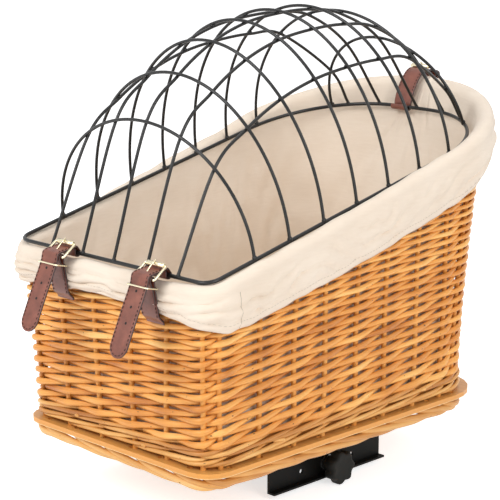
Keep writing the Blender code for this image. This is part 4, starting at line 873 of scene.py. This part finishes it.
def cushion():
    """Seat cushion: a crowned form with drawn-in sides, a welt round it and sewn tufts."""
    count, levels = 220, 40
    t = np.linspace(0, WHOLE_ROUND, count, endpoint=False)
    edge = wall_point(t, 0.030, 0.0240)[..., :2]
    middle = np.array([0.0, 0.012])
    spread = edge - middle
    length = np.linalg.norm(spread, axis=1, keepdims=True)
    angle = np.arctan2(spread[:, 1], spread[:, 0])
    corner = np.abs(np.sin(2 * angle))[:, None]
    spread = spread * (length - 0.007 * (1 - corner)) / length
    turn = np.linspace(-np.pi / 2, np.pi / 2, levels)[:, None]
    reach = np.abs(np.cos(turn)) ** 0.42
    rise = np.sin(turn)
    swollen = 0.0165 * np.sign(rise) * np.abs(rise) ** 0.85
    crown = np.where(rise > 0, 1.0 + 0.08 * corner.T, 0.72)
    height = CUSHION_MIDDLE + swollen * crown
    pucker = 1 + 0.006 * ripple(t, 0, 41, 0.035, 1.0)[None, :] * np.exp(-(rise / 0.25) ** 2)
    points = np.empty((levels, count, 3))
    points[..., :2] = middle + spread[None] * (reach * pucker)[..., None]
    points[..., 2] = height + BOARD_BOTTOM
    for tuft_x, tuft_y in TUFTS:
        gap = np.hypot(points[..., 0] - tuft_x, points[..., 1] - tuft_y)
        dip = 0.0085 * np.exp(-(gap / 0.020) ** 1.3)
        points[..., 2] -= np.where(rise > 0.2, dip, 0)
    swell = 0.0010 * ripple(points[..., 0], points[..., 1], 43, 0.10, 0.09)
    points[..., 2] += np.where(rise > 0.2, swell, 0)
    points[..., 2] = np.maximum(points[..., 2], BOARD_BOTTOM + CUSHION_FLOOR)
    shape = Shape()
    shape.add_grid(points[1:-1])
    piece = shape.object("seat_cushion_cover", CUSHION_COTTON)
    plump(piece)
    settle(piece, "basket", "cotton", "seat_cushion")
    trim = Shape()
    rim = np.concatenate([middle + spread * 1.004,
                          np.full((count, 1), CUSHION_MIDDLE + BOARD_BOTTOM)], axis=1)
    trim.tube(rim, Z_AXIS, 0.0022, closed=True)
    settle(trim.object("cushion_welt", CUSHION_COTTON), "basket", "cotton")


# Lid

WIRE, THIN_WIRE = 0.0023, 0.0019
LID_HALF_WIDTH, LID_NEAR_ROUND, LID_STRAIGHT = 0.159973, 0.016, 0.028
LID_FAR_ROUND = LID_HALF_WIDTH - LID_STRAIGHT
LID_NEAR_Y, LID_NEAR_Z, LID_FAR_Y, LID_FAR_Z = -0.229022, 0.241651, 0.283981, 0.358565
Hoop = namedtuple("Hoop", "y height half lean")
HOOPS = [Hoop(LID_NEAR_Y + 0.0673 + 0.0543 * i, height, LID_HALF_WIDTH, 0.150) for i, height in
         enumerate((0.1355, 0.1715, 0.1914, 0.1981, 0.1938, 0.1827, 0.1610))]
HOOPS.append(Hoop(LID_FAR_Y - 0.0298, 0.1021, 0.109232, 0.394))
BAR_STEPS = 12
BARS = ((-0.098, -0.093), (-0.044, -0.052), (0.009, 0.009), (0.063, 0.054), (0.113, 0.095))


def lid_z(y):
    """Height of the lid's frame at a place along it."""
    return LID_NEAR_Z + (y - LID_NEAR_Y) * (LID_FAR_Z - LID_NEAR_Z) / (LID_FAR_Y - LID_NEAR_Y)


def lid_frame_path():
    """The frame's middle line: straight sides, small near corners, wide far curves."""
    turn = np.linspace(0, np.pi / 2, 12)
    bend = np.linspace(0, np.pi / 2, 40)
    near_x = LID_HALF_WIDTH - LID_NEAR_ROUND + LID_NEAR_ROUND * np.sin(turn)
    near_y = LID_NEAR_Y + LID_NEAR_ROUND * (1 - np.cos(turn))
    far_x = LID_STRAIGHT + LID_FAR_ROUND * np.cos(bend)
    far_y = LID_FAR_Y - LID_FAR_ROUND * (1 - np.sin(bend))
    x = np.concatenate([near_x, far_x])
    y = np.concatenate([near_y, far_y])
    x, y = np.concatenate([x, -x[::-1]]), np.concatenate([y, y[::-1]])
    ring = np.stack([x, y, lid_z(y)], axis=1)
    return spaced(np.vstack([ring, ring[:1]]), 241)[:-1]


def hoop_point(hoop, x):
    """The point of an arch above a distance from the middle plane."""
    foot_y, height, half, lean = hoop
    rise = height * np.sqrt(np.maximum(1 - (x / half) ** 2, 0))
    return np.stack([x + 0 * rise, foot_y - lean * rise, lid_z(foot_y) + rise], axis=-1)


def bar_paths():
    """Middle lines of the five long wires, each a smooth curve just under the arches."""
    paths = []
    last = HOOPS[-2].y
    for near_x, far_x in BARS:
        over = max(abs(far_x) - LID_STRAIGHT, 0.0)
        far_y = LID_FAR_Y - LID_FAR_ROUND + np.sqrt(LID_FAR_ROUND ** 2 - over ** 2)
        near = np.array([near_x, LID_NEAR_Y, LID_NEAR_Z])
        far = np.array([far_x, far_y, lid_z(far_y)])
        tops, runs = [], []
        for hoop in HOOPS:
            share = np.clip((hoop.y - last) / (far_y - last), 0, 1)
            x = near_x + (far_x - near_x) * share
            tops.append(hoop_point(hoop, np.array(x)))
            root = np.sqrt(1 - (x / hoop.half) ** 2)
            slope = -hoop.height * x / (hoop.half ** 2 * root)
            runs.append((1.0, -hoop.lean * slope, slope))
        whole = np.array([near, *tops, far])
        normal = unit(np.cross(np.array(runs), whole[2:] - whole[:-2]))
        spots = np.array(tops) - 0.0036 * normal
        lift = 0.0030 * Z_AXIS
        paths.append(through(np.vstack([near + lift, spots, far + lift]), BAR_STEPS))
    return paths


def lid():
    """Frame, arches and long wires, with a small bead of weld where they cross."""
    frame_wire = Shape()
    frame_wire.tube(lid_frame_path(), Z_AXIS, WIRE, sides=12, closed=True)
    settle(frame_wire.object("lid_frame_wire", BLACK_WIRE), "lid", "black_wire", "lid_frame")
    arches = Shape()
    for hoop in HOOPS:
        first = np.arcsin(0.0024 / hoop.height)
        angle = np.linspace(first, np.pi - first, 72)
        rise = hoop.height * np.sin(angle)
        path = np.stack([-hoop.half * np.cos(angle), hoop.y - hoop.lean * rise,
                         lid_z(hoop.y) + rise], axis=1)
        arches.tube(path, Y_AXIS, THIN_WIRE, sides=12)
    settle(arches.object("lid_arches", BLACK_WIRE), "lid", "black_wire",
           *[f"hoop_{i}" for i in range(1, 9)])
    bars, beads = Shape(), Shape()
    for path in bar_paths():
        bars.tube(path, X_AXIS, THIN_WIRE, sides=12)
        for end in (path[0], path[-1]):
            bead(beads, end - 0.0012 * Z_AXIS, 0.0026)
        for crossing in path[BAR_STEPS:-1:BAR_STEPS]:
            bead(beads, crossing + 0.0016 * Z_AXIS, 0.0021)
    for hoop in HOOPS:
        for side in (-1, 1):
            foot = np.array([side * hoop.half, hoop.y, lid_z(hoop.y) + 0.0022])
            bead(beads, foot, 0.0029, 1.25)
    settle(bars.object("lid_long_wires", BLACK_WIRE), "lid", "black_wire",
           *[f"long_wire_{i}" for i in range(1, 6)])
    settle(beads.object("weld_beads", BLACK_WIRE), "lid", "black_wire")


def bead(shape, centre, radius, tall=1.0):
    """A small lump of weld: a sphere of latitude rings, a little uneven."""
    rings, sides = 7, 10
    turn = np.linspace(-np.pi / 2, np.pi / 2, rings + 2)[1:-1][:, None]
    angle = (2 * np.pi * np.arange(sides) / sides)[None, :]
    lumpy = radius * (1 + 0.10 * np.sin(3 * angle + random.uniform(0, 6)) * np.cos(turn))
    points = np.stack([np.cos(turn) * np.cos(angle) * lumpy, np.cos(turn) * np.sin(angle) * lumpy,
                       np.sin(turn) * radius * tall + 0 * angle], axis=-1)
    shape.add_grid(points + centre)


# Straps and buckles

STRAP_HALF, STRAP_THICK = 0.0140, 0.0022
STRAPS = {"left": (-0.0665, -1), "right": (0.0845, -1), "far": (-0.0165, 1)}
RIM_MIDDLE = {-1: (-0.230122, 0.235151), 1: (0.316481, 0.389965)}
PIN, ROLLER, PRONG, KEEPER = 0.0015, 0.0030, 0.00095, 0.0010
EASE, CLOSE = 0.0004, 0.0003
BUCKLE_HALF, KEEPER_HALF = 0.0163, 0.0160
TAIL_TOP = (0.0281, 0.0050)


def at_rim(side, outward_by, upward_by):
    """World (y, z) of a place outward and upward of the rim's top at an end."""
    y, z = RIM_MIDDLE[side]
    shift = 0.0
    if side > 0:
        below = min(upward_by, -RIM_DROP)
        for end, face in ((1, FAR_END), (-1, NEAR_END)):
            crest = RIM_MIDDLE[end][1] - BOARD_BOTTOM
            shift += end * (grown(face, crest + below) - grown(face, crest - RIM_DROP))
    return np.array([y + side * (outward_by + shift), z + upward_by])


def buckle_place(side):
    """Roller and pivot middles, and directions along the buckle and out of it, in (y, z)."""
    roller = at_rim(side, 0.0050, 0.0175)
    pivot = at_rim(side, 0.0225, 0.0050)
    along = unit(roller - pivot)
    out = np.array([-along[1], along[0]])
    return roller, pivot, along, out if out[1] > 0 else -out


def bend_round(centre, radius, start, end, steps, side):
    """Points on an arc; degrees from the outward direction."""
    angle = np.radians(np.linspace(start, end, steps + 1))
    return centre + radius * np.stack([side * np.cos(angle), np.sin(angle)], axis=1)


def tail_spots(side):
    """The long strap's path from under the roller to its tip."""
    roller, pivot, along, out = buckle_place(side)
    start = roller - out * (ROLLER + 3 * EASE + STRAP_THICK / 2)
    top = pivot + out * (PIN + CLOSE + STRAP_THICK + EASE + STRAP_THICK / 2)
    middle = (roller + pivot) / 2 + out * STRAP_THICK * 0.2
    tail = [at_rim(side, *spot) for spot in (TAIL_TOP, (0.0292, 0.0), (0.0340, -0.0110),
                                             (0.0435, -0.0305), (0.0560, -0.0575),
                                             (0.0635, -0.0750))]
    return start, start + (along * 0.9 - out * 0.15) * STRAP_THICK, [middle, top] + tail


def long_strap_path(side):
    """Middle line of a long strap: the loop on the lid's wire, the buckle and the tail."""
    wire = np.array([LID_NEAR_Y, LID_NEAR_Z]) if side < 0 else np.array([LID_FAR_Y, LID_FAR_Z])
    radius = WIRE + EASE + STRAP_THICK / 2
    start, before, rest = tail_spots(side)
    if side < 0:
        loop = bend_round(wire, radius, 0, -225, 14, -1)
        first = [loop[0] + np.array([0, STRAP_THICK * 2.2])]
        run = [before, start]
        upper = through(np.vstack([loop[-1:], run, rest]), 10)
    else:
        loop = bend_round(wire, radius, 140, 360, 14, 1)
        first = []
        y, z = RIM_MIDDLE[1]
        run = [np.array([y + a, z + b]) for a, b in ((-0.0285, -0.0260), (-0.0250, -0.0150),
                                                     (-0.0175, -0.0013), (-0.0080, 0.0098))]
        upper = through(np.vstack([loop[-1:], run, [before], [start], rest]), 8)
    path = np.vstack(first + [loop[:-1], upper])
    return spaced(path, 150)


def short_strap_path(side):
    """Middle line of a short strap: out of the weave, up to the pivot, round it and down."""
    _, pivot, _, _ = buckle_place(side)
    foot = ((0.0062, -0.0470), (0.0068, -0.0445), (0.0094, -0.0418), (0.0124, -0.0388),
            (0.0139, -0.0350))
    if side > 0:
        foot = ((0.0056, -0.0640), (0.0060, -0.0590), (0.0090, -0.0535), (0.0122, -0.0480),
                (0.0137, -0.0405))
    rising = [at_rim(side, *spot) for spot in foot + (
        (0.0148, -0.0303), (0.0162, -0.0195), (0.0178, -0.0100), (0.0190, -0.0035),
        (0.0195, 0.0015))]
    fold = bend_round(pivot, PIN + CLOSE + STRAP_THICK / 2, 180, 0, 12, side)
    falling = [at_rim(side, *spot) for spot in (
        (0.0255, 0.0030), (0.0240, -0.0010), (0.0219, -0.0065), (0.0205, -0.0130),
        (0.0190, -0.0210))]
    return spaced(np.vstack([through(rising, 8), fold, through(falling, 8)]), 110)


def strap_frame(path, x):
    """A strap's middle line in three dimensions, and its directions out."""
    middle = np.column_stack([np.full(len(path), x), path])
    return middle, np.cross(unit(np.gradient(middle, axis=0)), X_AXIS)


def strap_widths(path, tip):
    """Half width at each station: full, with a half circle at the tip."""
    reach = run_lengths(path)
    if not tip:
        return np.full(len(path), STRAP_HALF)
    left = np.maximum(reach[-1] - reach, 0)
    inside = np.clip(1 - left / STRAP_HALF, 0, 1)
    return STRAP_HALF * np.sqrt(np.maximum(1 - inside ** 2, 0.004))


def strap(name, x, path, tip, body, *nodes):
    """A leather strap: a strip with rounded, dark edges and a slight crown across."""
    if tip:
        reach = run_lengths(path)
        last = reach[-1] - STRAP_HALF * (1 - np.sin(np.linspace(0, np.pi / 2, 16)))
        wanted = np.concatenate([np.linspace(0, reach[-1] - STRAP_HALF, 130)[:-1], last])
        path = resampled(path, reach, wanted)
    middle, out = strap_frame(path, x)
    half = strap_widths(path, tip)
    across = np.array([1, 0.99, 0.965, 0.90, 0.6, 0.2])
    across = np.concatenate([-across, across[::-1]])
    thick = STRAP_THICK / 2 * np.array([0.25, 0.55, 0.82, 0.97, 1, 1])
    thick = np.concatenate([thick, thick[::-1]])
    across = np.concatenate([across, across[::-1]])
    thick = np.concatenate([thick, -thick[::-1]])
    edge = np.clip((np.abs(across) - 0.93) / 0.05, 0, 1)
    points = (middle[:, None, :] + X_AXIS * (half[:, None] * across[None, :])[..., None]
              + out[:, None, :] * thick[None, :, None])
    shape = Shape()
    shape.add_grid(points, np.tile(edge, len(path)))
    settle(shape.object(name, STRAP_LEATHER), body, "leather", *nodes)


def strap_stitches(name, x, path, tip, body, face, start=0.0, stop=None):
    """Stitches along both edges, and round the tip, on one face (1 or -1)."""
    middle, out = strap_frame(path, x)
    reach = run_lengths(path)
    stop = reach[-1] if stop is None else stop
    end = stop - STRAP_HALF if tip else stop
    places = np.arange(start, end - 0.0032, STITCH_PITCH)
    width = STRAP_HALF - 0.0024
    stitches = []

    def at(distance, offset):
        way = resampled(out, reach, distance)
        spot = resampled(middle, reach, distance) + offset[:, None] * X_AXIS
        return spot + way * face * (STRAP_THICK / 2), way * face

    for side in (-1, 1):
        offset = np.full(len(places), side * width)
        stitches.append((*at(places, offset), at(places + 0.0031, offset)[0]))
    if tip:
        turn = np.linspace(-np.pi / 2, np.pi / 2, 8)
        first, last = turn[:-1] + 0.05, turn[1:] - 0.10
        stitches.append((*at(end + width * np.cos(first), width * np.sin(first)),
                         at(end + width * np.cos(last), width * np.sin(last))[0]))
    starts, outs, ends = (np.concatenate(part) for part in zip(*stitches))
    shape = Shape()
    dashes(shape, starts, ends, outs, 0.00052)
    settle(shape.object(name, STRAP_THREAD), body, "leather")


def strap_holes(name, x, path, body, distances, face):
    """Punched holes: small sunk discs with a rounded lip, painted near black as the shade inside
    each hole.
    """
    middle, out = strap_frame(path, x)
    reach = run_lengths(path)
    shape = Shape()
    angle = 2 * np.pi * np.arange(14) / 14
    for distance in distances:
        spot = resampled(middle, reach, distance)
        way = unit(resampled(out, reach, distance)) * face
        run = unit(np.cross(way, X_AXIS))
        ring = np.cos(angle)[:, None] * X_AXIS + np.sin(angle)[:, None] * run[None, :]
        rings = [spot + way * lift + radius * ring for radius, lift in
                 ((0.0016, 0.00113), (0.00150, 0.00122), (0.0009, 0.00118))]
        rings.insert(0, rings[0] - way * 0.0006)
        shape.add_grid(np.array(rings))
    settle(shape.object(name, HOLE_PAINTED_SHADE), body, "leather")


def rounded_loop(x, half, first, second, corner, steps=6):
    """A closed loop in the plane of X and a line from first to second, with round corners."""
    along = unit(second - first)
    length = np.linalg.norm(second - first)
    turn = np.linspace(0, np.pi / 2, steps)
    corner_x, corner_s = corner * np.cos(turn), corner * np.sin(turn)
    across = np.concatenate([half - corner + corner_x, -(half - corner) - corner_x[::-1],
                             -(half - corner) - corner_x, half - corner + corner_x[::-1]])
    run = np.concatenate([length - corner + corner_s, length - corner + corner_s[::-1],
                          corner - corner_s, corner - corner_s[::-1]])
    places = first[None, :] + along[None, :] * run[:, None]
    return np.column_stack([x + across, places])


def buckle(end):
    """One roller buckle with its prong and keeper."""
    x, side = STRAPS[end]
    roller, pivot, along, out = buckle_place(side)
    normal = np.array([0.0, *out])
    bars = Shape()
    bars.tube(rounded_loop(x, BUCKLE_HALF, pivot, roller, 0.0026), normal, PIN, sides=12,
              closed=True)
    settle(bars.object(f"buckle_bar_{end}", BRASS), "basket", "brass", f"buckle_{end}")
    tube = Shape()
    places = np.array([-0.0136, -0.0134, -0.0130, 0.0, 0.0130, 0.0134, 0.0136])
    radii = np.array([0.0020, 0.0027, 0.0030, 0.0030, 0.0030, 0.0027, 0.0020])
    path = np.column_stack([x + places, np.tile(roller, (7, 1))])
    tube.tube(path, normal, radii, sides=24)
    settle(tube.object(f"buckle_roller_{end}", BRASS), f"roller_{end}", "brass", f"roller_{end}")
    length = np.linalg.norm(roller - pivot)
    ring = PIN + EASE + PRONG
    top = ROLLER + CLOSE + PRONG
    angle = np.radians(np.linspace(-20, -270, 20))
    eye = pivot + ring * (np.cos(angle)[:, None] * along + np.sin(angle)[:, None] * out)
    rod = [pivot + along * length * run + out * level for run, level in
           ((0.12, ring), (0.35, ring * 1.02), (0.75, top * 0.97), (1.0, top),
            (1.09, top * 0.97), (1.15, top * 0.86))]
    rod = through(np.vstack([eye[-1:], rod]), 5)
    path = np.vstack([eye[:-1], rod])
    path = np.column_stack([np.full(len(path), x), path])
    thin = np.full(len(path), PRONG * 0.92)
    thin[-4:] *= np.array([0.98, 0.92, 0.8, 0.55])
    pin = Shape()
    pin.tube(path, X_AXIS, thin, thin * 1.12, sides=10)
    settle(pin.object(f"buckle_prong_{end}", BRASS), f"prong_{end}", "brass", f"prong_{end}")
    loop = Shape()
    back, front = at_rim(side, 0.0164, -0.0055), at_rim(side, 0.0326, -0.0018)
    across = unit(np.array([0.0, *(front - back)]))
    face = np.cross(across, X_AXIS)
    loop.tube(rounded_loop(x, KEEPER_HALF, back, front, 0.0018), face, KEEPER, sides=10,
              closed=True)
    settle(loop.object(f"keeper_loop_{end}", BRASS), "basket", "brass", f"keeper_{end}")


def straps():
    """The three sets of straps and buckles."""
    for end, (x, side) in STRAPS.items():
        buckle(end)
        path = long_strap_path(side)
        body = LID_TO_BASKET if side > 0 else f"near_strap_{end}"
        node = "far_strap" if side > 0 else f"long_strap_{end}"
        strap(f"strap_{end}", x, path, True, body, node)
        reach = run_lengths(path)
        at_pivot = reach[np.argmin(np.linalg.norm(path - at_rim(side, *TAIL_TOP), axis=1))]
        strap_stitches(f"strap_stitches_{end}", x, path, True, body, -side, 0.030)
        holes = [at_pivot + step for step in (0.0135, 0.0315, 0.0495)]
        holed = "basket" if side > 0 else body
        strap_holes(f"strap_holes_{end}", x, path, holed, holes, -side)
        short = short_strap_path(side)
        strap(f"buckle_strap_{end}", x, short, False, "basket", f"short_strap_{end}")
        strap_stitches(f"buckle_strap_stitches_{end}", x, short, False, "basket", side, 0.012,
                       0.045)


# Clamp

def clamp_finishes():
    """Gives the clamp's own nodes, the board and the battens their finishes."""
    finishes = {BOARD_WOOD: ["base_board"], BATTEN_WOOD: ["batten_near", "batten_far"],
                BLACK_STEEL: ["mounting_plate", "fixed_jaw", "sliding_jaw"],
                ROD_WILLOW: ["rim_border"], BRASS: ["knob_insert"],
                ZINC: ["clamp_bolt", "lock_nut", "knob_washer", "jaw_screw_near", "jaw_screw_far",
                       *(f"board_bolt_{i}" for i in range(1, 5)),
                       *(f"tee_nut_{i}" for i in range(1, 5))]}
    for material, name in ((key, name) for key, names in finishes.items() for name in names):
        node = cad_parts[name]
        if not node.material_slots:
            node.data.materials.append(material)
        for place in node.material_slots:
            place.material = material


KNOB_Y, KNOB_Z = 0.0355, -0.038
KNOB_LOBES = 7


def knob():
    """Star knob: seven soft lobes by a cosine, on a round hub, with a dished face."""
    hub, star, end = 0.0890, 0.1000, 0.1150
    stations = [(hub, 0, 0.0044, 0), (hub, 0, 0.0088, 0), (hub + 0.0008, 0, 0.0095, 0),
                (star - 0.0030, 0, 0.0095, 0), (star - 0.0012, 0, 0.0100, 0.1),
                (star - 0.0002, 1, 0.80, 1), (star + 0.0006, 1, 0.93, 1), (star + 0.0022, 1, 1, 1),
                (end - 0.0050, 1, 1, 1), (end - 0.0022, 1, 0.985, 1), (end - 0.0008, 1, 0.94, 1),
                (end - 0.0001, 1, 0.87, 1), (end, 1, 0.80, 0.9), (end - 0.0006, 1, 0.62, 0.5),
                (end - 0.0009, 1, 0.40, 0.1), (end - 0.0009, 1, 0.10, 0.0)]
    sides = 140
    angle = 2 * np.pi * np.arange(sides) / sides
    lobes = 0.0210 - 0.0026 * (1 - np.cos(KNOB_LOBES * angle)) / 2 * 1.35
    rings = []
    for x, lobed, size, wave in stations:
        radius = size * (wave * lobes + (1 - wave) * 0.0200) if lobed else np.full(sides, size)
        rings.append(np.stack([np.full(sides, x), KNOB_Y + radius * np.cos(angle),
                               KNOB_Z + radius * np.sin(angle)], axis=1))
    shape = Shape()
    shape.add_grid(np.array(rings))
    settle(shape.object("star_knob_moulding", KNOB_PLASTIC), "knob", "black_plastic", "star_knob")


# Stage, lights and camera

LAMP_TARGET = Vector((0, 0, 0.2))
VIEW_TARGET, VIEW_DISTANCE = Vector((-0.0085, 0.0, 0.2151)), 2.155


def background_rays(tree):
    """One for the rays that show the background: camera, glossy and transmission rays."""
    path = tree.nodes.new("ShaderNodeLightPath")
    total = path.outputs["Is Camera Ray"]
    for name in ("Is Glossy Ray", "Is Transmission Ray"):
        either = tree.nodes.new("ShaderNodeMath")
        either.operation = "MAXIMUM"
        tree.links.new(total, either.inputs[0])
        tree.links.new(path.outputs[name], either.inputs[1])
        total = either.outputs[0]
    return total


def stand(name, data, place, back):
    """Puts a lamp or a camera at a place, looking away from the direction back."""
    thing = bpy.data.objects.new(name, data)
    thing.location = place
    thing.rotation_euler = back.to_track_quat("Z", "Y").to_euler()
    bpy.context.scene.collection.objects.link(thing)
    return thing


def stage():
    """A plain pale floor, soft lamps, and the camera at the photograph's angle."""
    ground = Shape()
    reach = 30.0
    corners = reach * np.array([[-1.0, -1, 0], [1, -1, 0], [1, 1, 0], [-1, 1, 0]])
    corners[:, 2] = packed_box[0][2] - 0.0004
    ground.add(corners, np.array([[0, 1, 2, 3]]))
    finish = Finish("floor_finish")
    finish.colour((0.93, 0.93, 0.93))
    finish.set(Roughness=1.0, Specular_IOR_Level=0.0)
    glow = finish.sum(background_rays(finish.material.node_tree), 0.0, 0.66)
    finish.set(Emission_Color=(1, 1, 1, 1), Emission_Strength=glow)
    floor = ground.object("floor", finish.material)
    world = bpy.data.worlds.new("studio")
    bpy.context.scene.world = world
    world.use_nodes = True
    nodes, links = world.node_tree.nodes, world.node_tree.links
    sky, plain = nodes["Background"], nodes.new("ShaderNodeBackground")
    for light, strength in ((sky, 0.56), (plain, 1.0)):
        light.inputs["Color"].default_value = (1, 1, 1, 1)
        light.inputs["Strength"].default_value = strength
    blend = nodes.new("ShaderNodeMixShader")
    sources = (background_rays(world.node_tree), sky.outputs[0], plain.outputs[0])
    for source, socket in zip(sources, blend.inputs):
        links.new(source, socket)
    links.new(blend.outputs[0], nodes["World Output"].inputs["Surface"])
    for name, place, power, size in (("key_lamp", (-0.6, -2.6, 2.2), 51.0, 1.4),
                                     ("side_lamp", (2.8, -0.6, 1.5), 33.5, 1.4),
                                     ("top_lamp", (0.3, 0.4, 3.0), 15.0, 1.6)):
        data = bpy.data.lights.new(name, "AREA")
        data.energy = power
        data.size = size
        stand(name, data, place, Vector(place) - LAMP_TARGET)
    back = Vector((0.6891, -0.6897, 0.2224)).normalized()
    data = bpy.data.cameras.new("view")
    data.sensor_width = 36.0
    data.lens = 129.6
    bpy.context.scene.camera = stand("view", data, VIEW_TARGET + back * VIEW_DISTANCE, back)
    bpy.context.scene.view_settings.view_transform = "Standard"


stage()
weave()
stakes()
wale()
cut_ends()
foot_border()
liner()
cushion()
lid()
straps()
clamp_finishes()
knob()
